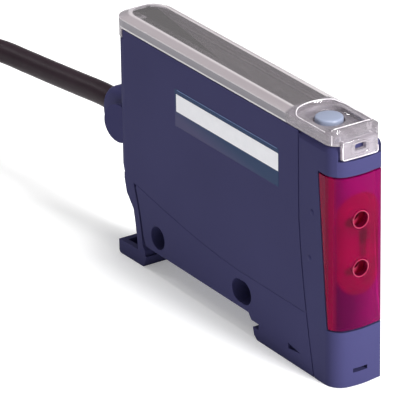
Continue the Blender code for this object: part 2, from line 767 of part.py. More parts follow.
def make_window(parts, tools, material):
    """The red wrap-round window with the two fibre holes and their chamfers."""
    plan = [(back(SEAM_TOP), HALF)] + nose_edge(HALF, NOSE_CORNER, NOSE_BULGE, NOSE_X)
    plan += [(back(SEAM_TOP), -HALF)]
    window = plan_prism("fibre_window", plan[::-1], WINDOW_LOW, WINDOW_HIGH, parts, material)
    band = window_band(WINDOW_LOW - REACH, WINDOW_HIGH + REACH, 0.0, NOSE_X + REACH)
    keep_inside(window, side_prism("window side", band, 2 * CASE_WIDTH, tools))
    core = plan_prism("window core", inner_plan(WINDOW_THICK), 0.0, CASE_HEIGHT, tools)
    cut(window, core)
    face = NOSE_X + NOSE_BULGE
    for name, z in zip(("upper", "lower"), port_heights()):
        hole = rod(f"{name} port", (face, 0, z), PORT_DIAMETER / 2, 2 * REACH, "X", tools, sides=28)
        flare = cone(
            f"{name} port flare",
            (face - PORT_CHAMFER + REACH / 2, 0, z),
            PORT_DIAMETER / 2,
            PORT_DIAMETER / 2 + REACH,
            REACH,
            "X",
            tools,
            sides=28,
        )
        cut(window, hole, flare)
    return window


def make_guide(parts, tools, material):
    """The stadium-shaped insert that lines the fibres up with the optics."""
    front = NOSE_X + NOSE_BULGE - WINDOW_THICK - 2 * GAP
    rear = back(GUIDE_REAR)
    outline = stadium_front(GUIDE_WIDTH, GUIDE_LENGTH, PORT_HEIGHT)
    guide = front_prism("fibre_guide", outline, rear, front - NOSE_BULGE / 2, parts, material)
    for name, z in zip(("upper", "lower"), port_heights()):
        place = (front, 0, z)
        cut(guide, rod(f"{name} guide hole", place, FIBRE_HOLE / 2, 4 * REACH, "X", tools, sides=20))
    return guide


def make_optics(parts, tools, plastic, clear, dark):
    """The carrier behind the guide, with the emitter and the receiver in its pockets."""
    front = back(GUIDE_REAR) - GAP
    rear = front - OPTICS_DEPTH
    low = PORT_HEIGHT - OPTICS_HEIGHT / 2
    high = PORT_HEIGHT + OPTICS_HEIGHT / 2
    carrier = block(
        "optics_block",
        (rear, -OPTICS_WIDTH / 2, low),
        (front, OPTICS_WIDTH / 2, high),
        parts,
        plastic,
        bevel=0.3 * MM,
    )
    names = ("emitter_led", "receiver_photodiode")
    radius = LAMP_DIAMETER / 2
    for name, z, material in zip(names, port_heights(), (clear, dark)):
        through = 4 * OPTICS_DEPTH
        channel = rod(f"{name} channel", (front, 0, z), FIBRE_HOLE / 2, through, "X", tools, sides=20)
        room = 2 * (LAMP_LENGTH + GAP)
        pocket = rod(f"{name} pocket", (rear, 0, z), radius + GAP, room, "X", tools, sides=24)
        cut(carrier, channel, pocket)
        profile = arc(0.0, LAMP_LENGTH - radius, radius, 90, 0, 5)
        profile += [(radius, 0.0), (0.0, 0.0)]
        turned(name, profile, (rear, 0, z), "X", parts, material, steps=20)
    return carrier


def board_outline():
    """The board: its foot follows the tongue, a finger at the top carries the switch."""
    top = BOARD_TOP
    rear, front = back(BOARD_REAR), back(BOARD_FRONT)
    finger = back(BOARD_FINGER)
    outline = [(rear, top), (rear, groove_height(rear) + TONGUE + GAP)]
    outline += groove_line(rear, front, TONGUE + GAP, steps=8)[1:]
    return outline + [(front, top - FINGER_DROP), (finger, top - FINGER_DROP), (finger, top)]


def above_tongue(x, rise):
    return groove_height(x) + TONGUE + rise


def make_electronics(parts, tools, board_mat, chip, can, sleeve):
    """The upright board with its chips, the receiver's shield, the capacitor and the switch."""
    middle = BOARD_OFFSET + BOARD_THICK / 2
    side_prism("circuit_board", board_outline(), BOARD_THICK, parts, board_mat, y=middle)
    face = BOARD_OFFSET - GAP  # the parts stand on the board's -Y face

    for name, sizes in (("signal_chip", SIGNAL_CHIP), ("output_driver", OUTPUT_DRIVER)):
        behind, rise, length, height, depth = sizes
        x = back(behind)
        z = above_tongue(x, rise)
        low = (x - length / 2, face - depth, z - height / 2)
        high = (x + length / 2, face, z + height / 2)
        block(name, low, high, parts, chip, bevel=PART_BEVEL)

    x = back(SHIELD_BACK)
    z = port_heights()[1]
    length, height, depth = SHIELD_SIZE
    low = Vector((x - length / 2, face - depth, z - height / 2))
    high = Vector((x + length / 2, face, z + height / 2))
    wall = Vector((SHIELD_WALL, SHIELD_WALL, SHIELD_WALL))
    shield = block("receiver_shield", low, high, parts, can, bevel=PART_BEVEL)
    past = Vector((0.0, REACH, 0.0))
    cut(shield, block("shield hollow", low + wall, high - wall + past, tools))

    radius = (INNER + face - CAPACITOR_PLAY) / 2
    x = back(CAPACITOR_BACK)
    place = (x, face - radius, above_tongue(x, CAPACITOR_RISE))
    rod("smoothing_capacitor", place, radius, CAPACITOR_LENGTH, "X", parts, sleeve, sides=24)
    make_switch(parts, tools, chip, face)


def make_switch(parts, tools, material, face):
    """The tact switch that the button presses, with its plunger up."""
    top = BUTTON_BASE - BUTTON_TRAVEL - PLUNGER_PLAY - PLUNGER_RISE
    depth = INNER + face - SWITCH_PLAY
    half = SWITCH_LENGTH / 2
    low = (BUTTON_X - half, face - depth, top - SWITCH_HEIGHT)
    body = block("tact_switch", low, (BUTTON_X + half, face, top), parts, material, bevel=PART_BEVEL)
    place = (BUTTON_X, face - depth / 2, top)
    join(body, rod("plunger", place, PLUNGER_RADIUS, 2 * PLUNGER_RISE, "Z", tools, sides=16))


def make_deck(parts, tools, material, lens):
    """The panel under the cover, with the button's hole and two light guides."""
    half = INNER + DECK_LEDGE - GAP
    radius = INNER - GAP
    front = back(DECK_FRONT)
    plan = arc(REAR_X, 0.0, radius, 90, 270, 12)
    plan += [(REAR_X + GAP, -half), (front, -half), (front, half), (REAR_X + GAP, half)]
    deck = plan_prism("deck_panel", plan, DECK_LOW, CASE_HEIGHT, parts, material)
    through = 4 * DECK_THICK
    radius = BUTTON_DIAMETER / 2 + BUTTON_PLAY
    cut(deck, rod("button hole", (BUTTON_X, 0, CASE_HEIGHT), radius, through, "Z", tools, sides=36))
    low = DECK_LOW - GAP - LENS_FLANGE
    rim = LENS_RADIUS + 2 * GAP
    profile = [(0.0, CASE_HEIGHT - low), (LENS_RADIUS, CASE_HEIGHT - low), (LENS_RADIUS, LENS_FLANGE)]
    profile += [(rim, LENS_FLANGE), (rim, 0.0), (0.0, 0.0)]
    for name, behind in (("output_indicator", OUTPUT_BACK), ("stability_indicator", STABILITY_BACK)):
        x = back(behind)
        top = (x, 0, CASE_HEIGHT)
        cut(deck, rod(f"{name} hole", top, LENS_RADIUS + GAP, through, "Z", tools, sides=20))
        turned(name, profile, (x, 0, low), "Z", parts, lens, steps=20)
    return deck


def make_button(parts, material):
    """The push button: its origin is on the axis it slides along."""
    radius = BUTTON_DIAMETER / 2
    height = BUTTON_TOP - BUTTON_BASE
    flange = INNER - 2 * GAP
    profile = [(0.0, height)]
    profile += arc(radius - BUTTON_EDGE, height - BUTTON_EDGE, BUTTON_EDGE, 90, 0, 3)
    profile += [(radius, BUTTON_STEM + BUTTON_FLANGE), (flange, BUTTON_STEM + BUTTON_FLANGE)]
    profile += [(flange, BUTTON_STEM), (STEM_RADIUS, BUTTON_STEM), (STEM_RADIUS, 0.0), (0.0, 0.0)]
    return turned("teach_button", profile, (BUTTON_X, 0, BUTTON_BASE), "Z", parts, material, steps=36)


def make_cover(parts, tools, material):
    """The clear lid: bevelled top, rear skirt, button pocket and pull tab."""
    half = COVER_WIDTH / 2
    hinge = Vector((back(HINGE_BACK), 0.0, CASE_HEIGHT - HINGE_DROP))
    plan = housing_plan(half, REAR_X, COVER_CORNER, NOSE_BULGE, NOSE_X - COVER_SETBACK)
    skirt_low = COVER_LOW - SKIRT_DROP
    cover = plan_prism("clear_cover", plan, skirt_low, COVER_TOP, parts, material, COVER_BEVEL)
    under_lid = block(
        "under the lid",
        (back(SKIRT_FRONT), -CASE_WIDTH, skirt_low - REACH),
        (NOSE_X + REACH, CASE_WIDTH, COVER_LOW),
        tools,
    )
    cut(cover, under_lid)
    tab = block(
        "pull tab",
        (NOSE_X + TAB_FACE - TAB_THICK, -TAB_WIDTH / 2, TAB_BOTTOM),
        (NOSE_X + TAB_FACE, TAB_WIDTH / 2, COVER_LOW + COVER_WALL),
        tools,
        bevel=TAB_BEVEL,
    )
    join(cover, tab)

    inner = half - COVER_WALL
    room_front = back(POCKET_BACK + COVER_WALL)
    plan = stadium_plan(inner, REAR_X, room_front)
    room = plan_prism("cover room", plan, COVER_LOW - REACH, COVER_TOP - COVER_WALL, tools)
    plan = stadium_plan(half - SKIRT_THICK, REAR_X, room_front)
    skirt_room = plan_prism("skirt room", plan, skirt_low - REACH, COVER_LOW + GAP, tools)
    pocket_half = POCKET_WIDTH / 2
    floor_top = COVER_TOP - POCKET_DEPTH
    pocket = plan_prism(
        "button pocket",
        stadium_plan(pocket_half, back(POCKET_BACK - pocket_half), back(POCKET_FRONT)),
        floor_top,
        COVER_TOP + REACH,
        tools,
    )
    under = block(
        "pocket underside",
        (back(POCKET_BACK), -inner, COVER_LOW - REACH),
        (back(POCKET_FRONT), inner, floor_top - POCKET_FLOOR),
        tools,
    )
    radius = BUTTON_DIAMETER / 2 + BUTTON_PLAY
    top = (BUTTON_X, 0, COVER_TOP)
    hole = rod("cover button hole", top, radius, 6 * COVER_HEIGHT, "Z", tools, sides=36)
    width, height = TAB_WINDOW
    tab_window = block(
        "tab window",
        (NOSE_X - REACH, -width / 2, TAB_WINDOW_HEIGHT - height / 2),
        (NOSE_X + REACH, width / 2, TAB_WINDOW_HEIGHT + height / 2),
        tools,
    )
    cut(cover, room, skirt_room, pocket, under, hole, tab_window)
    for vert in cover.data.vertices:
        vert.co -= hinge
    cover.location = hinge
    return cover


def make_strain_relief(parts, tools, material):
    """The half-round boss: it plugs into the rear wall and the cable leaves by its tip."""
    relief = side_prism("strain_relief", dome_outline(), DOME_WIDTH, parts, material)
    rim = relief.modifiers.new("round rim", "BEVEL")
    rim.width = DOME_ROUND
    rim.segments = 4
    rim.angle_limit = math.radians(60)
    wall = plan_prism(
        "relief stop", stadium_plan(HALF, REAR_X, NOSE_X, grow=GAP), 0.0, CASE_HEIGHT, tools
    )
    cheek = rod(
        "relief cheek stop",
        (REAR_X - CHEEK_BACK, 0, DOME_HEIGHT),
        CHEEK_RADIUS + GAP,
        2 * CASE_WIDTH,
        "Y",
        tools,
    )
    cheek_gap = block(
        "relief cheek gap",
        (back(DOME_BACK), -DOME_WIDTH / 2 - GAP, 0.0),
        (NOSE_X, DOME_WIDTH / 2 + GAP, CASE_HEIGHT),
        tools,
    )
    cut(cheek, cheek_gap)
    cut(relief, wall, cheek)
    middle = ((NECK_FRONT + DOME_X) / 2, 0, CABLE_HEIGHT)
    neck = rod("neck", middle, NECK_DIAMETER / 2, NECK_FRONT - DOME_X, "X", tools, sides=28)
    join(relief, neck)
    middle = (back(DOME_BACK + REACH / 2 - SOCKET_DEPTH / 2), 0, CABLE_HEIGHT)
    radius = CABLE_DIAMETER / 2 + GAP
    socket = rod("cable socket", middle, radius, REACH + SOCKET_DEPTH, "X", tools, sides=28)
    cut(relief, socket)
    return relief


def make_inner_lead(parts, material):
    """The cable's end inside the case, up to the board."""
    start = NECK_FRONT + GAP
    end = back(BOARD_REAR) - GAP
    middle = ((start + end) / 2, 0, CABLE_HEIGHT)
    rod("inner_lead", middle, CABLE_DIAMETER / 2, end - start, "X", parts, material, sides=20)


# The cable, in millimetres: it leaves the boss level, sags, and runs on to the top of
# the hank, which lies in line with the housing and is held by a tie.
CABLE_ROUTE = [
    (-36.7, 0.0, 25.2),
    (-42.0, 0.0, 25.0),
    (-49.5, 0.0, 24.2),
    (-59.0, 0.0, 23.2),
    (-68.0, 0.0, 22.3),
    (-77.0, -0.3, 21.5),
    (-84.0, -2.4, 20.9),
    (-91.0, -6.0, 20.4),
    (-99.3, -11.0, 20.05),
]
TAIL_ROUTE = [
    (-142.2, 8.0, 3.0),
    (-137.0, 6.5, 3.0),
    (-131.0, 5.6, 3.0),
    (-124.0, 5.6, 3.0),
]
HANK_FRONT = -98.5 * MM
HANK_STRAIGHT = 43.0 * MM  # between its two round ends
HANK_FOLD = 12.6 * MM  # radius of the innermost turn
HANK_COLUMNS = 2
HANK_LAYERS = 5
TIE_THICK = 0.6 * MM
TIE_WIDTH = 3.6 * MM
TIE_BACK = 27.5 * MM  # from the front of the hank
CORE_LENGTH = 13.0 * MM
CORE_DIAMETER = 1.2 * MM


def smooth_route(points, spacing):
    """Points at an even spacing along a smooth curve through the route's points."""
    knots = [Vector(p) * MM for p in points]
    ends = [knots[0] * 2 - knots[1]] + knots + [knots[-1] * 2 - knots[-2]]
    fine = []
    for a, b, c, d in zip(ends, ends[1:], ends[2:], ends[3:]):
        for step in range(12):
            t = step / 12
            point = (
                2 * b
                + (c - a) * t
                + (2 * a - 5 * b + 4 * c - d) * t**2
                + (3 * b - a - 3 * c + d) * t**3
            )
            fine.append(point / 2)
    fine.append(knots[-1])
    total = sum((q - p).length for p, q in zip(fine, fine[1:]))
    count = max(2, round(total / spacing))
    walked, index, even = 0.0, 0, [fine[0]]
    for k in range(1, count):
        goal = total * k / count
        while walked + (fine[index + 1] - fine[index]).length < goal:
            walked += (fine[index + 1] - fine[index]).length
            index += 1
        step = fine[index + 1] - fine[index]
        even.append(fine[index] + step * ((goal - walked) / step.length))
    return even + [fine[-1]]


def tube(name, points, diameter, collection, material, resolution=2):
    """A round tube on a poly spline, with filled ends."""
    curve = bpy.data.curves.new(name, "CURVE")
    curve.dimensions = "3D"
    curve.bevel_depth = diameter / 2
    curve.bevel_resolution = resolution
    curve.use_fill_caps = True
    spline = curve.splines.new("POLY")
    spline.points.add(len(points) - 1)
    for point, place in zip(spline.points, points):
        point.co = (*place, 1.0)
    curve.materials.append(material)
    item = bpy.data.objects.new(name, curve)
    collection.objects.link(item)
    return item


def hank_outline(radius):
    outer = HANK_FOLD + (HANK_COLUMNS - 0.5) * CABLE_DIAMETER
    front = HANK_FRONT - outer
    rear = front - HANK_STRAIGHT
    return arc(rear, 0.0, radius, 90, 270, 14) + arc(front, 0.0, radius, -90, 90, 14)


def make_cable(parts, tools, jacket, tie_mat, core_mats):
    spacing = 2.5 * CABLE_DIAMETER
    tube("cable_tube", smooth_route(CABLE_ROUTE, spacing), CABLE_DIAMETER, parts, jacket)
    low = TIE_THICK + GAP
    high = low + HANK_LAYERS * CABLE_DIAMETER
    outer = HANK_FOLD + (HANK_COLUMNS - 0.5) * CABLE_DIAMETER
    inner = HANK_FOLD - CABLE_DIAMETER / 2
    hank = plan_prism("cable_hank", hank_outline(outer), low, high, parts, jacket)
    cut(hank, plan_prism("hank middle", hank_outline(inner), low - REACH, high + REACH, tools))

    tail = smooth_route(TAIL_ROUTE, spacing / 2)
    tube("cable_tail", tail, CABLE_DIAMETER, parts, jacket)
    offset = (CORE_DIAMETER + GAP) / 2
    places = [(-offset, offset), (offset, offset), (-offset, -offset), (offset, -offset)]
    start = tail[-1] + Vector((GAP, 0.0, 0.0))
    for (y, z), (name, material) in zip(places, core_mats.items()):
        core = [start + Vector((CORE_LENGTH * j / 3, y, z)) for j in range(4)]
        tube(name, core, CORE_DIAMETER, parts, material)

    middle = HANK_FRONT - TIE_BACK
    half = outer + GAP
    top = high + GAP
    corner = TIE_THICK + GAP
    strap = [
        (-half - TIE_THICK, 0.0, corner),
        (half + TIE_THICK, 0.0, corner),
        (half + TIE_THICK, top + TIE_THICK, corner),
        (-half - TIE_THICK, top + TIE_THICK, corner),
    ]
    bore = [
        (-half, TIE_THICK, GAP),
        (half, TIE_THICK, GAP),
        (half, top, GAP),
        (-half, top, GAP),
    ]
    rear, front = middle - TIE_WIDTH / 2, middle + TIE_WIDTH / 2
    tie = front_prism("hank_tie", round_corners(strap), rear, front, parts, tie_mat)
    cut(tie, front_prism("tie bore", round_corners(bore), rear - REACH, front + REACH, tools))


def main():
    clear_scene()
    parts = new_collection("fibre optic amplifier")
    tools = new_collection("cutters")
    housing = make_material("housing plastic", (0.048, 0.045, 0.1), 0.5)
    red = make_material("red window", (0.5, 0.0, 0.1), 0.15, alpha=0.8)
    guide = make_material("guide plastic", (0.55, 0.02, 0.05), 0.4)
    clear = make_material("clear plastic", (0.8, 0.78, 0.8), 0.1, alpha=0.35)
    button = make_material("button plastic", (0.3, 0.36, 0.48), 0.45)
    deck = make_material("deck plastic", (0.1, 0.1, 0.12), 0.5)
    dark = make_material("black plastic", (0.03, 0.03, 0.03), 0.5)
    board = make_material("board", (0.02, 0.2, 0.08), 0.5)
    steel = make_material("tinned steel", (0.7, 0.7, 0.7), 0.35, metallic=1.0)
    jacket = make_material("cable jacket", (0.03, 0.02, 0.025), 0.45)
    tie = make_material("tie", (0.03, 0.03, 0.03), 0.5)
    cores = {
        "core_brown": make_material("brown core", (0.1, 0.04, 0.02), 0.45),
        "core_white": make_material("white core", (0.75, 0.75, 0.73), 0.45),
        "core_blue": make_material("blue core", (0.02, 0.09, 0.4), 0.45),
        "core_black": make_material("black core", (0.02, 0.02, 0.02), 0.45),
    }

    make_case(parts, tools, housing)
    make_base(parts, tools, housing)
    make_nose(parts, tools, housing)
    make_window(parts, tools, red)
    make_guide(parts, tools, guide)
    make_optics(parts, tools, dark, clear, dark)
    make_electronics(parts, tools, board, dark, steel, dark)
    make_deck(parts, tools, deck, clear)
    make_button(parts, button)
    make_cover(parts, tools, clear)
    make_strain_relief(parts, tools, housing)
    make_inner_lead(parts, jacket)
    make_cable(parts, tools, jacket, tie, cores)


main()
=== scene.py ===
import math

import bmesh
import bpy
from mathutils import Matrix, Vector


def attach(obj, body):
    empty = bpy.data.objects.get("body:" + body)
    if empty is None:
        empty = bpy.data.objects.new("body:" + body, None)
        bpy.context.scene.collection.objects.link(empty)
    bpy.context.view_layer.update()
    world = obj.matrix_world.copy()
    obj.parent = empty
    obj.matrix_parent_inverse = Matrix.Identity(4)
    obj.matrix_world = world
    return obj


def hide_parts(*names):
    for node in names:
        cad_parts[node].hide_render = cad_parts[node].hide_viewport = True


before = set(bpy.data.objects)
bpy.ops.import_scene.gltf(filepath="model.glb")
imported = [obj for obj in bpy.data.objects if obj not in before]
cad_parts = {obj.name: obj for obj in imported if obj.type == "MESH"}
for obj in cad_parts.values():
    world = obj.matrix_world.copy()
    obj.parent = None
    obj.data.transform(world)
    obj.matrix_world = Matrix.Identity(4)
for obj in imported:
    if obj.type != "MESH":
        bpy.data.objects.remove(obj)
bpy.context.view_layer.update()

mm = 0.001
faceX = 36.65  # the fibre face's edges, in mm; lengths behind it are read off the photograph


# small helpers

def hexColor(text):
    # sRGB hex to the linear colour that the shaders use
    channels = [int(text[i:i + 2], 16) / 255 for i in (1, 3, 5)]
    linear = [c / 12.92 if c <= 0.04045 else ((c + 0.055) / 1.055) ** 2.4 for c in channels]
    return (*linear, 1.0)


def addNode(tree, kind, settings=None, **links):
    # links maps an input's name, or i and its number, to a value or to another node's output
    node = tree.nodes.new(kind)
    for key, value in (settings or {}).items():
        setattr(node, key, value)
    for key, value in links.items():
        numbered = key[0] == "i" and key[1:].isdigit()
        socket = node.inputs[int(key[1:]) if numbered else key.replace("_", " ")]
        if isinstance(value, bpy.types.NodeSocket):
            tree.links.new(value, socket)
        else:
            socket.default_value = value
    return node


def newMaterial(name):
    material = bpy.data.materials.new(name)
    material.use_nodes = True
    return material, material.node_tree, material.node_tree.nodes["Principled BSDF"]


def noise(tree, scale, detail=2.0):
    # fractal noise on Object coordinates, with scale in cells per metre
    place = addNode(tree, "ShaderNodeTexCoord").outputs["Object"]
    return addNode(tree, "ShaderNodeTexNoise", None, Vector=place, Scale=scale, Detail=detail).outputs["Fac"]


def separated(tree):
    # X, Y and Z of the Object coordinates, by name
    place = addNode(tree, "ShaderNodeTexCoord").outputs["Object"]
    return addNode(tree, "ShaderNodeSeparateXYZ", None, Vector=place).outputs


def toneRamp(tree, share, tones, at=(0.0, 1.0)):
    ramp = addNode(tree, "ShaderNodeValToRGB", None, Fac=share)
    for stop, position, tone in zip(ramp.color_ramp.elements, at, tones):
        stop.position = position
        stop.color = hexColor(tone)
    return ramp.outputs["Color"]


def mapRange(tree, value, start, end, low=0.0, high=1.0, smooth=False):
    # runs from low to high while the value runs from start to end, both in mm
    settings = {"interpolation_type": "SMOOTHSTEP"} if smooth else None
    return addNode(
        tree, "ShaderNodeMapRange", settings, Value=value, From_Min=start * mm, From_Max=end * mm,
        To_Min=low, To_Max=high,
    ).outputs[0]


def calculate(tree, operation, *values):
    inputs = {f"i{k}": value for k, value in enumerate(values)}
    return addNode(tree, "ShaderNodeMath", {"operation": operation}, **inputs).outputs[0]


def mixColors(tree, share, first, second):
    mixed = addNode(tree, "ShaderNodeMix", {"data_type": "RGBA"}, i0=share, i6=first, i7=second)
    return mixed.outputs[2]


def vectorLength(tree, x, y):
    flat = addNode(tree, "ShaderNodeCombineXYZ", None, X=x, Y=y)
    return addNode(tree, "ShaderNodeVectorMath", {"operation": "LENGTH"}, i0=flat.outputs[0]).outputs["Value"]


def roughen(tree, shader, height, strength):
    # a fine relief, a tenth of a millimetre at full strength
    bump = addNode(tree, "ShaderNodeBump", None, Strength=strength, Distance=0.0001, Height=height)
    tree.links.new(bump.outputs["Normal"], shader.inputs["Normal"])


def mottledMaterial(name, scale, tones, roughness, at=(0.0, 1.0), detail=2.0):
    # a finish whose colour wanders between two tones at the scale of its own grain
    material, tree, shader = newMaterial(name)
    tree.links.new(toneRamp(tree, noise(tree, scale, detail), tones, at), shader.inputs["Base Color"])
    shader.inputs["Roughness"].default_value = roughness
    return material, tree, shader


def meshObject(name, bm, material, smoothAngle=30):
    mesh = bpy.data.meshes.new(name)
    bm.to_mesh(mesh)
    bm.free()
    piece = bpy.data.objects.new(name, mesh)
    bpy.context.scene.collection.objects.link(piece)
    mesh.materials.append(material)
    mesh.shade_smooth()
    mesh.set_sharp_from_angle(angle=math.radians(smoothAngle))
    return piece


def loft(name, rows, material):
    # closed rings of points, in mm, skinned one to the next and capped at both ends
    bm = bmesh.new()
    rings = [[bm.verts.new((x * mm, y * mm, z * mm)) for x, y, z in row] for row in rows]
    count = len(rings[0])
    for a, b in zip(rings, rings[1:]):
        for j in range(count):
            bm.faces.new((a[j], a[(j + 1) % count], b[(j + 1) % count], b[j]))
    bm.faces.new(rings[0][::-1])
    bm.faces.new(rings[-1])
    bmesh.ops.recalc_face_normals(bm, faces=bm.faces)
    return meshObject(name, bm, material)


def settle(piece, body, slot, *nodes):
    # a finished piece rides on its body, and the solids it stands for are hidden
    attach(piece, body)
    if nodes:
        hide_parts(*nodes)
    return piece


def smoothStep(t):
    t = min(1.0, max(0.0, t))
    return t * t * (3 - 2 * t)


# camera

camera = dict(
    lens=355.6, place=(519.39, -345.94, 304.95), azimuth=56.845, elevation=24.599, roll=-0.868,
    shift=(-0.00195, 0.0002),
)


def makeCamera():
    a, e, r = (math.radians(camera[k]) for k in ("azimuth", "elevation", "roll"))
    back = Vector((math.sin(a) * math.cos(e), -math.cos(a) * math.cos(e), math.sin(e)))
    level = Vector((math.cos(a), math.sin(a), 0.0))
    upright = back.cross(level)
    right = math.cos(r) * level + math.sin(r) * upright
    up = back.cross(right)
    data = bpy.data.cameras.new("camera")
    data.lens = camera["lens"]
    data.sensor_width = 36.0
    data.shift_x, data.shift_y = camera["shift"]
    data.clip_end = 10.0
    eye = bpy.data.objects.new("camera", data)
    bpy.context.scene.collection.objects.link(eye)
    eye.matrix_world = Matrix.Translation(Vector(camera["place"]) * mm) @ Matrix(
        [[right[i], up[i], back[i]] for i in range(3)]
    ).to_4x4()
    bpy.context.scene.camera = eye


makeCamera()
print("camera placed")


# cable and its hank

cable = dict(
    diameter=4.2,
    exit=(-37.55, 0.0, 25.2),
    lead=[
        (-36.7, 0.0, 25.2), (-42.0, 0.0, 25.0), (-49.5, 0.0, 24.2), (-59.0, 0.0, 23.2),
        (-68.0, 0.0, 22.3), (-77.0, -0.3, 21.5), (-84.0, -2.4, 20.9), (-91.0, -6.0, 20.4),
        (-99.3, -11.0, 20.05), (-105.5, -14.2, 19.85), (-111.5, -16.3, 19.8), (-117.4, -16.8, 19.8),
    ],
    foldRadius=12.6, straight=43.0, front=-98.5, under=0.9, layers=5,
    shiftLength=25.0,  # over which a turn steps to its next place
    tail=[
        (-154.0, 11.8, 3.0), (-148.0, 10.1, 3.0), (-142.2, 8.0, 3.0), (-137.0, 6.5, 3.0), (-131.0, 5.6, 3.0),
        (-124.0, 5.6, 3.0),
    ],
)


def smoothRoute(points, steps=6):
    knots = [Vector(p) for p in points]
    ends = [knots[0] * 2 - knots[1]] + knots + [knots[-1] * 2 - knots[-2]]
    fine = []
    for a, b, c, d in zip(ends, ends[1:], ends[2:], ends[3:]):
        for k in range(steps):
            t = k / steps
            square = (2 * a - 5 * b + 4 * c - d) * t**2
            cube = (3 * b - a - 3 * c + d) * t**3
            fine.append((2 * b + (c - a) * t + square + cube) / 2)
    return fine + [knots[-1]]


def windHank():
    # turns in two columns, from the top layer down; each steps to its next place on the far run
    d = cable["diameter"]
    radii = (cable["foldRadius"], cable["foldRadius"] + d)
    front = cable["front"] - radii[1] - d / 2
    rear = front - cable["straight"]
    places = []
    for layer in range(cable["layers"], 0, -1):
        order = (1, 0) if (cable["layers"] - layer) % 2 == 0 else (0, 1)
        places += [(radii[column], cable["under"] + d * (layer - 0.5)) for column in order]
    points = []

    def fold(x, radius, z, start, end, steps=12):
        for k in range(1, steps):
            angle = math.radians(start + (end - start) * k / steps)
            points.append(Vector((x + radius * math.cos(angle), radius * math.sin(angle), z)))

    def farRun(here, there, steps=12):
        rises = abs(here[1] - there[1]) > 0.1
        outward = 1 if here[0] > radii[0] + 0.1 else -1
        for k in range(steps + 1):
            x = rear + cable["straight"] * k / steps
            f = smoothStep((x - rear) / cable["shiftLength"])
            y = here[0] + (there[0] - here[0]) * f
            if rises:  # it bows out, so that it stays a diameter from the turns beside it
                bow = max(math.sqrt(1 - (1 - f) ** 2) - f, math.sqrt(1 - f * f) - (1 - f))
                y += outward * d * bow
            points.append(Vector((x, y, here[1] + (there[1] - here[1]) * f)))

    for k, here in enumerate(places):
        if k:
            points.append(Vector((front, -here[0], here[1])))
        for j in range(1, 5):
            points.append(Vector((front + (rear - front) * j / 4, -here[0], here[1])))
        fold(rear, here[0], here[1], 270, 90)
        if k + 1 < len(places):
            farRun(here, places[k + 1])
            fold(front, places[k + 1][0], places[k + 1][1], 90, -90)
    end = Vector((rear, places[-1][0], places[-1][1]))
    return points, end


def tubeCurve(name, points, diameter, material, resolution=4):
    curve = bpy.data.curves.new(name, "CURVE")
    curve.dimensions = "3D"
    curve.bevel_depth = diameter / 2
    curve.bevel_resolution = resolution
    curve.use_fill_caps = True
    spline = curve.splines.new("POLY")
    spline.points.add(len(points) - 1)
    for point, place in zip(spline.points, points):
        point.co = (*place, 1.0)
    curve.materials.append(material)
    piece = bpy.data.objects.new(name, curve)
    bpy.context.scene.collection.objects.link(piece)
    return piece


def jacketMaterial():
    # extruded PVC jacket: smooth and a little greasy, with a faint ripple from the cores under it
    material, tree, shader = mottledMaterial("extruded PVC jacket", 450.0, ("#22151D", "#2F2029"), 0.48)
    roughen(tree, shader, noise(tree, 450.0), 0.12)
    shader.inputs["Specular IOR Level"].default_value = 0.12
    return material


def tieMaterial():
    # moulded nylon strap: matt, with a shallow cross rib
    material, tree, shader = newMaterial("moulded nylon strap")
    place = addNode(tree, "ShaderNodeTexCoord").outputs["Object"]
    ribs = addNode(tree, "ShaderNodeTexWave", {"bands_direction": "X"}, Vector=place, Scale=400.0)
    roughen(tree, shader, ribs.outputs["Fac"], 0.3)
    shader.inputs["Base Color"].default_value = hexColor("#232326")
    shader.inputs["Roughness"].default_value = 0.55
    return material


def coreMaterial(name, color):
    # extruded core insulation, clean and slightly glossy
    material, tree, shader = newMaterial(name)
    roughen(tree, shader, noise(tree, 900.0), 0.08)
    shader.inputs["Base Color"].default_value = hexColor(color)
    shader.inputs["Roughness"].default_value = 0.38
    return material


cores = dict(
    diameter=1.2, length=12.4, spread=1.1, steps=8,
    sunk=0.6,  # how far a core starts inside the jacket
    droop=0.35,  # share of its height off the middle that a core loses along its length
    colors={
        "core_brown": "#6B3F22", "core_white": "#E6E4DE", "core_blue": "#2A5DA8", "core_black": "#1E1D20",
    },
    sides={
        "core_brown": (-0.75, 0.75), "core_white": (0.75, 0.75), "core_blue": (-0.75, -0.75),
        "core_black": (0.75, -0.75),
    },
)


def makeCable():
    d = cable["diameter"]
    lead = smoothRoute(cable["lead"])
    turns, end = windHank()
    tail = smoothRoute([tuple(end)] + cable["tail"])
    points = [p * mm for p in lead + turns + tail]
    jacket = jacketMaterial()
    whole = tubeCurve("cable", points, d * mm, jacket)
    tip = points[-1]
    for name, color in cores["colors"].items():
        y, z = cores["sides"][name]
        material = coreMaterial(name.replace("core_", "") + " core insulation", color)
        line = []
        for k in range(cores["steps"] + 1):
            t = k / cores["steps"]
            fan = 1 + cores["spread"] * smoothStep(t)
            along = cores["length"] * t - cores["sunk"]
            line.append(tip + Vector((along, y * fan, z * (1 - cores["droop"] * t))) * mm)
        strand = tubeCurve("strand_" + name, line, cores["diameter"] * mm, material, 3)
        settle(strand, "housing", name, name)
    settle(whole, "housing", "cable_jacket", "cable_tube", "cable_hank", "cable_tail")
    strap = softCopy("hank_tie", 0.15, tieMaterial())
    settle(strap, "housing", "tie", "hank_tie")


# moulded housing

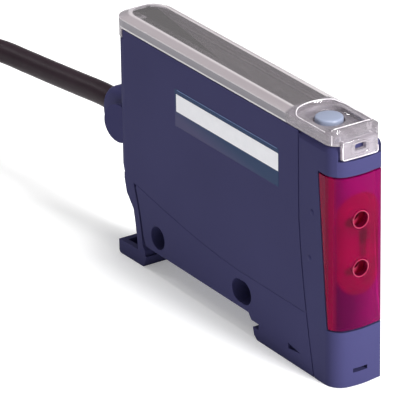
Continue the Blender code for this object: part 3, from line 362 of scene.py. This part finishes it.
housing = dict(
    half=4.95, top=43.5, rearCentre=-24.95, rearFlat=1.45, farCorner=(34.45, 2.75),
    farPull=0.5,  # how much the nose's far front corner is tightened
    grooveFront=11.2, grooveRear=15.7, grooveFlat=28.0, grooveEnd=61.6,
    grooveStop=60.9,  # where its floor ends behind the face
    seamTop=9.8, seamBottom=5.5, seamBend=30.0, seamInset=0.5,
    grooveFill=0.05, seamFill=0.13,  # how far the joints' floors lie below the skin
    floorHalf=0.3, floorSteps=16, seamSteps=12,
    bow=1.5,  # how late along its length a joint bends
    edges={"main_case": 0.14, "base_strip": 0.12, "nose_block": 0.14, "strain_relief": 0.12},
    dimples=[(30.65, 30.2), (29.95, 21.6)], dimpleRadius=0.5, dimpleRise=0.16,
)


def applied(piece, name):
    # the piece with its modifiers made mesh
    mesh = bpy.data.meshes.new_from_object(piece.evaluated_get(bpy.context.evaluated_depsgraph_get()))
    old = piece.data
    piece.modifiers.clear()
    piece.data = mesh
    mesh.name = name
    bpy.data.meshes.remove(old)
    mesh.shade_smooth()
    mesh.set_sharp_from_angle(angle=math.radians(30))
    return piece


def nodeCopy(node, material):
    # the solid's own shape, welded, with its flat faces whole
    bm = bmesh.new()
    bm.from_mesh(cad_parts[node].data)
    bmesh.ops.remove_doubles(bm, verts=bm.verts, dist=1e-6)
    bmesh.ops.dissolve_limit(bm, angle_limit=math.radians(0.6), verts=bm.verts, edges=bm.edges)
    return meshObject("soft_" + node, bm, material)


def squareRear(piece):
    # the round rear end has a flat between two corners, as the real one does
    share = housing["rearFlat"] / housing["half"]
    for vertex in piece.data.vertices:
        x, y = vertex.co.x / mm - housing["rearCentre"], vertex.co.y / mm
        if x > 1e-4:
            continue
        reach = share * math.hypot(x, y)
        vertex.co.x = (housing["rearCentre"] + x * (1 - share) - reach) * mm
        vertex.co.y = (y * (1 - share) + (reach if y > 1e-4 else -reach if y < -1e-4 else 0.0)) * mm
    return piece


def squareCorner(piece):
    # the nose's far front corner is tighter than the near one
    x0, y0 = housing["farCorner"]
    for vertex in piece.data.vertices:
        x, y = vertex.co.x / mm - x0, vertex.co.y / mm - y0
        if x > 0 and y > 0:
            pull = housing["farPull"]
            reach = pull * math.hypot(x, y)
            vertex.co.x = (x0 + (1 - pull) * x + reach) * mm
            vertex.co.y = (y0 + (1 - pull) * y + reach) * mm
    return piece


def carve(piece, operation, *tools):
    for tool in tools:
        step = piece.modifiers.new("carve", "BOOLEAN")
        step.operation = operation
        step.object = tool
    applied(piece, piece.name)
    for tool in tools:
        bpy.data.objects.remove(tool, do_unlink=True)


def roundEdges(piece, radius, segments=3, angle=35):
    bevel = piece.modifiers.new("moulded edges", "BEVEL")
    bevel.width = radius * mm
    bevel.segments = segments
    bevel.limit_method = "ANGLE"
    bevel.angle_limit = math.radians(angle)
    bevel.use_clamp_overlap = True
    bevel.harden_normals = True
    return piece


def softCopy(node, radius, material):
    # the solid's shape with its moulded edges rounded
    return roundEdges(nodeCopy(node, material), radius)


def grooveHeight(behind):
    share = max(0.0, (behind - housing["grooveFlat"]) / (housing["grooveEnd"] - housing["grooveFlat"]))
    return housing["grooveFront"] + (housing["grooveRear"] - housing["grooveFront"]) * share ** housing["bow"]


def seamBehind(z):
    share = max(0.0, (housing["seamBend"] - z) / housing["seamBend"])
    return housing["seamTop"] - (housing["seamTop"] - housing["seamBottom"]) * share ** housing["bow"]


def ribbon(name, path, depth, material):
    # a strip that follows a path seen from the side, between both flanks of the housing
    half = housing["half"] - depth
    rows = []
    for k, (x, z) in enumerate(path):
        before, after = path[max(0, k - 1)], path[min(len(path) - 1, k + 1)]
        run = Vector((after[0] - before[0], after[1] - before[1])).normalized()
        across = Vector((-run.y, run.x)) * housing["floorHalf"]
        rows.append([
            (x + side * across.x, y, z + side * across.y)
            for side, y in ((-1, -half), (1, -half), (1, half), (-1, half))
        ])
    return loft(name, rows, material)


def housingMaterial():
    # moulded ABS: slate violet, matt from fine spark texture, with a faint flow cloud
    tones = ("#38375B", "#3F3E65")
    material, tree, shader = mottledMaterial("spark-textured ABS", 55.0, tones, 0.5, detail=3.0)
    roughen(tree, shader, noise(tree, 2600.0), 0.12)
    shader.inputs["Specular IOR Level"].default_value = 0.03
    return material


def makeHousing(plastic):
    for node, radius in housing["edges"].items():
        piece = nodeCopy(node, plastic)
        if node == "main_case":
            squareRear(piece)
        if node == "nose_block":
            squareCorner(piece)
        settle(roundEdges(piece, radius), "housing", "housing", node)
    bm = bmesh.new()
    for x, z in housing["dimples"]:
        flat = Matrix.Diagonal((1.0, housing["dimpleRise"] / housing["dimpleRadius"], 1.0, 1.0))
        bmesh.ops.create_uvsphere(
            bm, u_segments=20, v_segments=12, radius=housing["dimpleRadius"] * mm,
            matrix=Matrix.Translation(Vector((x, -housing["half"], z)) * mm) @ flat,
        )
    settle(meshObject("side_pips", bm, plastic), "housing", "housing")
    front = faceX - seamBehind(housing["grooveFront"])
    rear = faceX - housing["grooveStop"]
    path = []
    for k in range(housing["floorSteps"] + 1):
        x = rear + (front - rear) * k / housing["floorSteps"]
        path.append((x, grooveHeight(faceX - x)))
    settle(ribbon("groove_floor", path, housing["grooveFill"], plastic), "housing", "housing")
    path = []
    for k in range(housing["seamSteps"] + 1):
        z = housing["seamInset"] + (housing["top"] - 2 * housing["seamInset"]) * k / housing["seamSteps"]
        path.append((faceX - seamBehind(z), z))
    settle(ribbon("seam_floor", path, housing["seamFill"], plastic), "housing", "housing")
    print("housing made")


# red window, its insert and the ports

window = dict(
    tint=("#6A0048", "#9C0064"), crimson=("#681030", "#9C0244"), strip="#B80A50",
    across=(-3.2, 2.5), upward=(14.0, 37.0),  # over which the tint brightens
    # painted glow: the span over which the near edge turns a lighter pink
    glowEdgeSpan=(-4.6, -3.9),
    backed=(-0.5, 0.2, 20.3, 31.4, 3.6, 0.3),  # stretch in Y, stretch in Z, radius and softness
    # painted shade: dark patches at the fibre bores and at the clamp between the ports
    between=(0.3, 0.5, 24.0, 27.6, 0.7, 0.5), boreShadeAcross=(-2.2, -1.0), boreShadeUp=0.1, boreShadeRound=(0.75, 0.45),
    ports=(30.2, 21.4), lipRadius=1.52, lipTube=0.11, face=37.5, edges=0.14, guideEdges=0.3,
)


def windowMaterial():
    # cast acrylic, polished: over the dark nose it runs from plum at the near side and bottom to magenta at
    # the far side and top, crimson over the insert, with painted shade at the fibre bores and the clamp
    # between them and a painted glow along the near edge
    material, tree, shader = newMaterial("polished red acrylic")
    place = separated(tree)
    flow = noise(tree, 150.0)
    side = mapRange(tree, place["Y"], *window["across"], -0.1, 0.45)
    up = mapRange(tree, place["Z"], *window["upward"], -0.05, 0.4)
    share = calculate(tree, "MULTIPLY_ADD", flow, 0.5, calculate(tree, "ADD", side, up))
    tint = toneRamp(tree, share, window["tint"], (0.2, 0.85))

    def near(y0, y1, z0, z1, radius, soft):
        # 1 within a radius of a level or upright stretch seen from the front
        offs = []
        for axis, low, high in (("Y", y0, y1), ("Z", z0, z1)):
            kept = addNode(tree, "ShaderNodeClamp", None, Value=place[axis], Min=low * mm, Max=high * mm)
            offs.append(calculate(tree, "SUBTRACT", place[axis], kept.outputs[0]))
        return mapRange(tree, vectorLength(tree, *offs), radius - soft, radius + soft, 1.0, 0.0, smooth=True)

    # painted shade of the fibre bores and of the clamp between them, seen through the pane, darkens the
    # crimson
    boreShade = near(*window["between"])
    for z in window["ports"]:
        hole = near(*window["boreShadeAcross"], z - window["boreShadeUp"], z, *window["boreShadeRound"])
        boreShade = calculate(tree, "MAXIMUM", boreShade, hole)
    depth = calculate(tree, "MULTIPLY_ADD", boreShade, -0.35, flow)
    crimson = toneRamp(tree, depth, window["crimson"], (0.2, 0.55))
    both = mixColors(tree, near(*window["backed"]), tint, crimson)
    # painted glow along the near edge of the pane
    edge = mapRange(tree, place["Y"], *window["glowEdgeSpan"], 0.85, 0.0, smooth=True)
    tree.links.new(mixColors(tree, edge, both, hexColor(window["strip"])), shader.inputs["Base Color"])
    shader.inputs["Roughness"].default_value = 0.06
    shader.inputs["IOR"].default_value = 1.16
    shader.inputs["Specular IOR Level"].default_value = 0.15
    shader.inputs["Transmission Weight"].default_value = 0.6
    return material


def insertMaterial():
    # moulded red insert, satin, with faint flow marks round the fibre holes
    return mottledMaterial("satin red insert", 240.0, ("#8E0E34", "#9C1440"), 0.4)[0]


def lipMaterial():
    # polished cut edge of the acrylic, its colour a little lighter than the face as a painted highlight
    material, tree, shader = mottledMaterial("polished acrylic edge", 800.0, ("#860838", "#A01448"), 0.12)
    shader.inputs["Specular IOR Level"].default_value = 0.8
    return material


def portLips(material):
    # a node tree sets one round lip on each port
    tree = bpy.data.node_groups.new("port lips", "GeometryNodeTree")
    upper, lower = window["ports"]
    sockets = {}
    for name, kind, value in (
        ("Radius", "NodeSocketFloat", window["lipRadius"] * mm),
        ("Tube", "NodeSocketFloat", window["lipTube"] * mm),
        ("Count", "NodeSocketInt", 2),
        ("First", "NodeSocketVector", Vector((window["face"], 0, lower)) * mm),
        ("Step", "NodeSocketVector", Vector((0, 0, upper - lower)) * mm),
    ):
        sockets[name] = (tree.interface.new_socket(name, in_out="INPUT", socket_type=kind).identifier, value)
    tree.interface.new_socket("Lips", in_out="OUTPUT", socket_type="NodeSocketGeometry")
    given = addNode(tree, "NodeGroupInput").outputs
    line = addNode(
        tree, "GeometryNodeMeshLine", {"mode": "OFFSET"}, Count=given["Count"], Start_Location=given["First"],
        Offset=given["Step"],
    ).outputs["Mesh"]

    def circle(steps, radius):
        node = addNode(tree, "GeometryNodeCurvePrimitiveCircle", None, Resolution=steps, Radius=radius)
        return node.outputs["Curve"]

    path, section = circle(40, given["Radius"]), circle(10, given["Tube"])
    swept = addNode(tree, "GeometryNodeCurveToMesh", None, Curve=path, Profile_Curve=section).outputs["Mesh"]
    turned = addNode(
        tree, "GeometryNodeTransform", None, Geometry=swept, Rotation=(0.0, math.radians(90), 0.0),
    ).outputs["Geometry"]
    placed = addNode(
        tree, "GeometryNodeInstanceOnPoints", None, Points=line, Instance=turned,
    ).outputs["Instances"]
    real = addNode(tree, "GeometryNodeRealizeInstances", None, Geometry=placed).outputs["Geometry"]
    smooth = addNode(tree, "GeometryNodeSetShadeSmooth", None, Geometry=real).outputs["Geometry"]
    done = addNode(tree, "GeometryNodeSetMaterial", None, Geometry=smooth, Material=material)
    out = addNode(tree, "NodeGroupOutput")
    tree.links.new(done.outputs["Geometry"], out.inputs[0])
    piece = meshObject("port_lips", bmesh.new(), material)
    step = piece.modifiers.new("port lips", "NODES")
    step.node_group = tree
    for identifier, value in sockets.values():
        step[identifier] = value
    return applied(piece, "port_lips")


def makeWindow():
    settle(portLips(lipMaterial()), "housing", "red_window")
    pane = squareCorner(nodeCopy("fibre_window", windowMaterial()))
    settle(roundEdges(pane, window["edges"]), "housing", "red_window", "fibre_window")
    insert = softCopy("fibre_guide", window["guideEdges"], insertMaterial())
    settle(insert, "housing", "guide", "fibre_guide")
    print("window made")


# clear lid

lid = dict(
    low=41.0, top=46.2, width=10.2, corner=1.6, bulge=0.9, front=36.25, edges=0.14,
    shoulderWidth=1.5, shoulderDrop=0.7,
    shoulderTaper=(0.4, 0.6, 0.3),  # shares of the corner, the bow and the shoulder left at the flat top
    formLow=38.0, formRoom=(1, 3),  # the form starts well below the lid, and stands off its sides and front
    clearHalf=3.3, borderSoft=(0.25, 0.15),  # the pane's half width, and its edge's softness in and out
    paneHaze=0.16, pocketHaze=0.5, pocket=23.0, pocketSoft=0.6,
    glintRear=(-3.5, -1.0),  # where the painted glints set in, from the centre of the round rear
    glintLow=(43.3, 43.6),
    # the colours by height paint highlight lines (43.8 to 44.05 and 45.42 mm) and reflection bands between
    # them
    tones=[
        (41.0, "#D9D3D9"), (43.6, "#CFC8CE"), (43.8, "#F6F2F4"), (44.05, "#F0ECEF"), (44.15, "#88848E"),
        (45.3, "#948F99"), (45.42, "#F0EAED"), (45.55, "#BDB4B8"), (46.1, "#B6ADB1"), (46.2, "#DCD5D8"),
    ],
    recessRear=23.4, recessReach=3.2, recessFront=34.9, recessHalf=4.7, recessCorner=1.0, recessDepth=0.6,
    ovalHalf=1.75, ovalRise=1.05, ovalHeight=43.0, ovalPower=0.7, ovalSteps=32,
    ovalProfile=((-0.28, -0.1), (-0.16, 0.1), (0.0, 0.17), (0.16, 0.1), (0.28, -0.1)),  # across and out
    tabFace=37.4, tabHalf=3.5, highlightBead=0.2, frontCorner=(35.85, -4.62),
)


def coverMaterial():
    # clear polycarbonate: a polished pane, with satin walls and border; their colour by height holds painted
    # highlight lines and painted reflection bands, and painted glints set in at the rear, ahead of the pocket
    # and low down
    material, tree, shader = newMaterial("clear polycarbonate")
    place = separated(tree)
    centre, half, pocket = housing["rearCentre"], lid["clearHalf"], lid["pocket"]
    behind = calculate(tree, "SUBTRACT", place["X"], centre * mm)
    behind = calculate(tree, "MINIMUM", behind, 0.0)
    reach = vectorLength(tree, behind, place["Y"])
    inner, outer = lid["borderSoft"]
    border = mapRange(tree, reach, half - inner, half + outer, lid["paneHaze"], 1.0, smooth=True)
    fore = mapRange(tree, place["X"], pocket, pocket + lid["pocketSoft"])
    frost = addNode(tree, "ShaderNodeMix", None, i0=fore, i2=border, i3=lid["pocketHaze"])
    wavy = addNode(tree, "ShaderNodeBump", None, Strength=0.12, Distance=0.0006, Height=noise(tree, 420.0))
    height = mapRange(tree, place["Z"], lid["low"], lid["top"])
    # painted highlight lines and reflection bands, by height
    tone = addNode(tree, "ShaderNodeValToRGB", None, Fac=height)
    span = lid["top"] - lid["low"]
    stops = tone.color_ramp.elements
    for z, color in lid["tones"]:
        share = (z - lid["low"]) / span
        if share in (0.0, 1.0):
            stop = stops[int(share) * (len(stops) - 1)]
            stop.position = share
        else:
            stop = stops.new(share)
        stop.color = hexColor(color)
    tree.links.new(tone.outputs["Color"], shader.inputs["Base Color"])
    shader.inputs["Roughness"].default_value = 0.2
    shader.inputs["IOR"].default_value = 1.5
    shader.inputs["Transmission Weight"].default_value = 0.3
    # where the painted glints go: the round rear, ahead of the pocket and below the flat top
    rear = mapRange(tree, place["X"], *(centre + x for x in lid["glintRear"]), 0.6, 0.0)
    below = mapRange(tree, place["Z"], *lid["glintLow"], 1.0, 0.0)
    ahead = mapRange(tree, place["X"], pocket, pocket + lid["pocketSoft"], 0.0, 0.85)
    ends = calculate(tree, "MAXIMUM", calculate(tree, "MAXIMUM", rear, ahead), below)
    # painted glints: a noise of pale tones stands in for the glints of moulded clear plastic
    paintedGlints = toneRamp(tree, noise(tree, 300.0), ("#B9B1BA", "#DCD5DE"), (0.3, 0.75))
    glintShader = addNode(
        tree, "ShaderNodeBsdfPrincipled", None, Base_Color=paintedGlints, Normal=wavy.outputs["Normal"],
    )
    glintShader.inputs["Roughness"].default_value = 0.08
    glintShader.inputs["IOR"].default_value = 1.5
    glintShader.inputs["Transmission Weight"].default_value = 0.4
    body = addNode(tree, "ShaderNodeMixShader", None, i0=ends, i1=shader.outputs[0], i2=glintShader.outputs[0])
    clear = addNode(tree, "ShaderNodeBsdfTransparent", None, Color=hexColor("#EFEAED"))
    gloss = addNode(tree, "ShaderNodeBsdfAnisotropic", None, Roughness=0.05, Normal=wavy.outputs["Normal"])
    fresnel = addNode(tree, "ShaderNodeFresnel", None, IOR=1.55, Normal=wavy.outputs["Normal"])
    pane = addNode(
        tree, "ShaderNodeMixShader", None, i0=fresnel.outputs[0], i1=clear.outputs[0], i2=gloss.outputs[0],
    )
    mixed = addNode(
        tree, "ShaderNodeMixShader", None, i0=frost.outputs[0], i1=pane.outputs[0], i2=body.outputs[0],
    )
    tree.links.new(mixed.outputs[0], tree.nodes["Material Output"].inputs["Surface"])
    return material


def planRing(half, rear, corner, bulge, front, steps=5):
    # the lid in plan: a half-round rear and a bowed front between round corners
    ring = []
    for k in range(33):
        angle = math.radians(270 - 180 * k / 32)
        ring.append((rear + half * math.cos(angle), half * math.sin(angle)))
    flat = half - corner
    ys = [half - corner * (1 - math.cos(math.radians(90 * k / steps))) for k in range(steps + 1)]
    ys += [flat * (1 - 2 * k / steps) for k in range(1, steps)]
    ys += [-y for y in reversed(ys[: steps + 1])]
    for y in ys:
        past = max(0.0, abs(y) - flat)
        drop = corner - math.sqrt(max(0.0, corner * corner - past * past))
        ring.append((front + bulge * (1 - (y / half) ** 2) - drop, y))
    return ring


def shoulderForm(material):
    # what the lid is kept inside: upright walls, then a sloped shoulder up to the flat top
    half, centre = lid["width"] / 2, housing["rearCentre"]
    corner, bulge, front = (lid[k] for k in ("corner", "bulge", "front"))
    aside, ahead = lid["formRoom"]
    tight, flat, back = lid["shoulderTaper"]
    wide = planRing(half + aside, centre, corner, bulge, front + ahead)
    full = planRing(half, centre, corner, bulge, front)
    narrow = planRing(
        half - lid["shoulderWidth"], centre, corner * tight, bulge * flat, front - lid["shoulderWidth"] * back,
    )
    shoulder = lid["top"] - lid["shoulderDrop"]
    levels = ((wide, lid["formLow"]), (wide, shoulder - 0.02), (full, shoulder), (narrow, lid["top"] + 0.001))
    return squareRear(loft("shoulder form", [[(*p, z) for p in ring] for ring, z in levels], material))


def rimForm(material):
    # the wide shallow recess round the button's pocket, half-round at the rear
    x0, x1, half, corner = (lid[k] for k in ("recessRear", "recessFront", "recessHalf", "recessCorner"))
    ring = []
    for k in range(21):
        angle = math.radians(270 - 9 * k)
        ring.append((x0 + lid["recessReach"] * (1 + math.cos(angle)), half * math.sin(angle)))
    for sign, start in ((1, 90), (-1, 0)):
        for k in range(6):
            angle = math.radians(start - 18 * k)
            x, y = corner * math.cos(angle), corner * math.sin(angle)
            ring.append((x1 - corner + x, sign * (half - corner) + y))
    heights = (lid["top"] - lid["recessDepth"], lid["top"] + 1)
    return loft("rim form", [[(*p, z) for p in ring] for z in heights], material)


def tabMoulding(material):
    # raised oval round the slot of the pull tab
    steps, power = lid["ovalSteps"], lid["ovalPower"]
    ring, rings = [], []
    for k in range(steps):
        angle = math.radians(360 * k / steps)
        c, s = math.cos(angle), math.sin(angle)
        y = lid["ovalHalf"] * math.copysign(abs(c) ** power, c)
        ring.append((y, lid["ovalHeight"] + lid["ovalRise"] * math.copysign(abs(s) ** power, s)))
    bm = bmesh.new()
    for k, (y, z) in enumerate(ring):
        before, after = ring[k - 1], ring[(k + 1) % steps]
        run = Vector((after[0] - before[0], after[1] - before[1])).normalized()
        out = Vector((run.y, -run.x))
        x = lid["tabFace"]
        rings.append([
            bm.verts.new(((x + h) * mm, (y + out.x * w) * mm, (z + out.y * w) * mm))
            for w, h in lid["ovalProfile"]
        ])
    around = len(lid["ovalProfile"])
    for k in range(steps):
        a, b = rings[k], rings[(k + 1) % steps]
        for j in range(around):
            bm.faces.new((a[j], a[(j + 1) % around], b[(j + 1) % around], b[j]))
    bmesh.ops.recalc_face_normals(bm, faces=bm.faces)
    return meshObject("tab_oval", bm, material, 60)


def paintedHighlightMaterial():
    # painted highlight: near-white beads standing in for the light on the clear plastic's rounded edges
    return mottledMaterial("painted edge highlight", 500.0, ("#C9C1C8", "#F4F0F4"), 0.15, at=(0.35, 0.65))[0]


def highlightBeads():
    # painted highlights along the edges that catch the light: round the recess, at the front corner and along
    # the tab
    edge = paintedHighlightMaterial()
    x0, x1, half = lid["recessRear"], lid["recessFront"], lid["recessHalf"]
    face, side = lid["tabFace"] - 0.02, lid["tabHalf"]

    def onTop(x, y):
        # the point on the lid's top, which falls away over the shoulder
        past = max(0.0, abs(y) - lid["width"] / 2 + lid["shoulderWidth"])
        return x, y, lid["top"] - 0.05 - lid["shoulderDrop"] * past / lid["shoulderWidth"]

    turns = [math.radians(9 * k) for k in range(21)]
    rear = [(x0 + lid["recessReach"] * (1 - math.sin(a)), -half * math.cos(a)) for a in turns]
    near = [(x1 - back, -half) for back in (0.9, 4, 7)]
    lines = {
        "recess_highlight": [onTop(*p) for p in near + rear + [(x1 - 0.9, half)]],
        "front_highlight": [onTop(x1, y) for y in (-half + 0.7, -half + 1.4, 0, half - 1.4, half - 0.7)],
        "corner_highlight": [(*lid["frontCorner"], z) for z in (43.9, 44.8, 45.6)],
        "tab_highlight": [
            (face, -side, 43.7), (face, -side, 41.7), (face, -side + 0.25, 41.42), (face, 0, 41.36),
            (face, side - 0.25, 41.42), (face, side, 41.7), (face, side, 42.6),
        ],
    }
    for name, line in lines.items():
        settle(tubeCurve(name, [Vector(p) * mm for p in line], lid["highlightBead"] * mm, edge, 3), "cover", "clear")


def makeCover():
    clear = coverMaterial()
    highlightBeads()
    piece = squareRear(nodeCopy("clear_cover", clear))
    carve(piece, "INTERSECT", shoulderForm(clear))
    carve(piece, "DIFFERENCE", rimForm(clear))
    settle(tabMoulding(clear), "cover", "clear")
    settle(roundEdges(piece, lid["edges"], 2), "cover", "clear", "clear_cover")
    print("lid made")


# button and deck

def buttonMaterial():
    # moulded satin ABS, blue-grey
    material, tree, shader = newMaterial("satin blue-grey ABS")
    roughen(tree, shader, noise(tree, 1800.0), 0.1)
    shader.inputs["Base Color"].default_value = hexColor("#868EA4")
    shader.inputs["Roughness"].default_value = 0.38
    return material


def deckMaterial():
    # matt panel under the lid
    return mottledMaterial("matt deck panel", 140.0, ("#716C78", "#7D7783"), 0.5)[0]


def makeDeck():
    settle(softCopy("deck_panel", 0.1, deckMaterial()), "housing", "deck", "deck_panel")
    settle(softCopy("teach_button", 0.12, buttonMaterial()), "button", "button", "teach_button")
    print("deck made")


# label on the near side, left blank

label = dict(
    thickness=0.05, edge=0.02,
    white=(-9.8, 20.98, 34.0, 37.25), field=(-10.2, 21.05, 31.2, 38.15), line=(-9.5, 20.6, 37.98, 38.1),
)


def whiteInkMaterial():
    # screen-printed white ink, satin, a little uneven
    return mottledMaterial("white screen ink", 700.0, ("#E9E9EE", "#F4F4F8"), 0.45)[0]


def blueInkMaterial():
    # printed blue field that thins out towards its lower rear corner, down to the bare plastic
    material, tree, shader = newMaterial("graded blue ink")
    place = separated(tree)
    x0, x1, z0, z1 = label["field"]
    along = mapRange(tree, place["X"], x0, x1, 0.0, 0.9)
    up = mapRange(tree, place["Z"], z0, z1, -0.15, 1.1)
    tone = toneRamp(tree, calculate(tree, "ADD", along, up), ("#3C3A62", "#103058"), (0.15, 0.75))
    tree.links.new(tone, shader.inputs["Base Color"])
    shader.inputs["Roughness"].default_value = 0.45
    shader.inputs["Specular IOR Level"].default_value = 0.14
    return material


def lineInkMaterial():
    # thin pale blue line of ink
    return mottledMaterial("pale blue ink", 900.0, ("#46629A", "#5C77AC"), 0.45)[0]


def makeLabel():
    for name, key, material, lift in (
        ("label_field", "field", blueInkMaterial(), 0.6), ("label_white", "white", whiteInkMaterial(), 1.0),
        ("label_line", "line", lineInkMaterial(), 1.0),
    ):
        x0, x1, z0, z1 = label[key]
        thick = label["thickness"] * lift
        bm = bmesh.new()
        middle = Vector(((x0 + x1) / 2, -housing["half"] - thick / 2 + 0.01, (z0 + z1) / 2)) * mm
        size = Vector((x1 - x0, thick, z1 - z0)) * mm
        bmesh.ops.create_cube(bm, size=1.0, matrix=Matrix.Translation(middle) @ Matrix.Diagonal((*size, 1.0)))
        rim = [e for e in bm.edges if all(v.co.y < middle.y for v in e.verts)]
        bmesh.ops.bevel(bm, geom=rim, offset=label["edge"] * mm, segments=1, affect="EDGES")
        settle(meshObject(name, bm, material), "housing", "housing")
    print("label laid")


# parts inside

def innerMaterial(name, first, second, roughness, metallic=0.0):
    # what the case hides is mottled a little, as moulded, coated and tinned surfaces are
    material, tree, shader = mottledMaterial(name, 300.0, (first, second), roughness)
    shader.inputs["Metallic"].default_value = metallic
    return material


def dressInside():
    resin = innerMaterial("moulded black epoxy", "#1C1C1F", "#26262A", 0.5)
    lens = innerMaterial("frosted light guide", "#8C8A8E", "#A2A0A4", 0.25)
    finishes = {
        "circuit_board": innerMaterial("solder mask", "#12502C", "#1A6338", 0.4),
        "receiver_shield": innerMaterial("tinned sheet steel", "#B4B4B6", "#C6C6C8", 0.3, 1.0),
        "inner_lead": innerMaterial("inner PVC jacket", "#30222B", "#3D2D36", 0.42),
        "emitter_led": lens, "output_indicator": lens, "stability_indicator": lens,
    }
    black = (
        "receiver_photodiode", "optics_block", "signal_chip", "output_driver", "smoothing_capacitor",
        "tact_switch",
    )
    for node in (*finishes, *black):
        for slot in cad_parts[node].material_slots:
            slot.material = finishes.get(node, resin)
    print("inside dressed")


# stage and light

stage = dict(
    floor="#F2F2F2", lift=0.25, sky=0.34,
    lamps={
        "overhead": ((-0.02, 0.08, 0.9), 0.28, 4.7), "front": ((0.95, 0.2, 0.4), 0.3, 17.0),
        "edge": ((-0.85, -0.2, 0.5), 0.12, 1.1),
    },
)


def makeStage():
    bm = bmesh.new()
    bmesh.ops.create_grid(bm, x_segments=1, y_segments=1, size=6.0)
    material, tree, shader = newMaterial("pale floor")
    shader.inputs["Base Color"].default_value = hexColor(stage["floor"])
    shader.inputs["Roughness"].default_value = 0.9
    shader.inputs["Specular IOR Level"].default_value = 0.0
    ray = addNode(tree, "ShaderNodeLightPath").outputs
    seen = calculate(tree, "MAXIMUM", ray["Is Camera Ray"], ray["Is Transmission Ray"])
    seen = calculate(tree, "MAXIMUM", seen, ray["Is Glossy Ray"])
    glow = calculate(tree, "MULTIPLY", seen, stage["lift"])
    shader.inputs["Emission Color"].default_value = (1.0, 1.0, 1.0, 1.0)
    tree.links.new(glow, shader.inputs["Emission Strength"])
    floor = meshObject("floor", bm, material)
    world = bpy.data.worlds.new("studio")
    bpy.context.scene.world = world
    world.use_nodes = True
    background = world.node_tree.nodes["Background"]
    background.inputs["Color"].default_value = (1.0, 1.0, 1.0, 1.0)
    background.inputs["Strength"].default_value = stage["sky"]
    for name, (place, size, power) in stage["lamps"].items():
        data = bpy.data.lights.new(name, "AREA")
        data.size = size
        data.energy = power
        lamp = bpy.data.objects.new(name, data)
        bpy.context.scene.collection.objects.link(lamp)
        lamp.location = place
        lamp.rotation_euler = (Vector((0, 0, 0.02)) - Vector(place)).to_track_quat("-Z", "Y").to_euler()
    bpy.context.scene.view_settings.view_transform = "Standard"
    print("stage set")


plastic = housingMaterial()
makeCable()
makeHousing(plastic)
makeWindow()
makeCover()
makeDeck()
makeLabel()
dressInside()
makeStage()
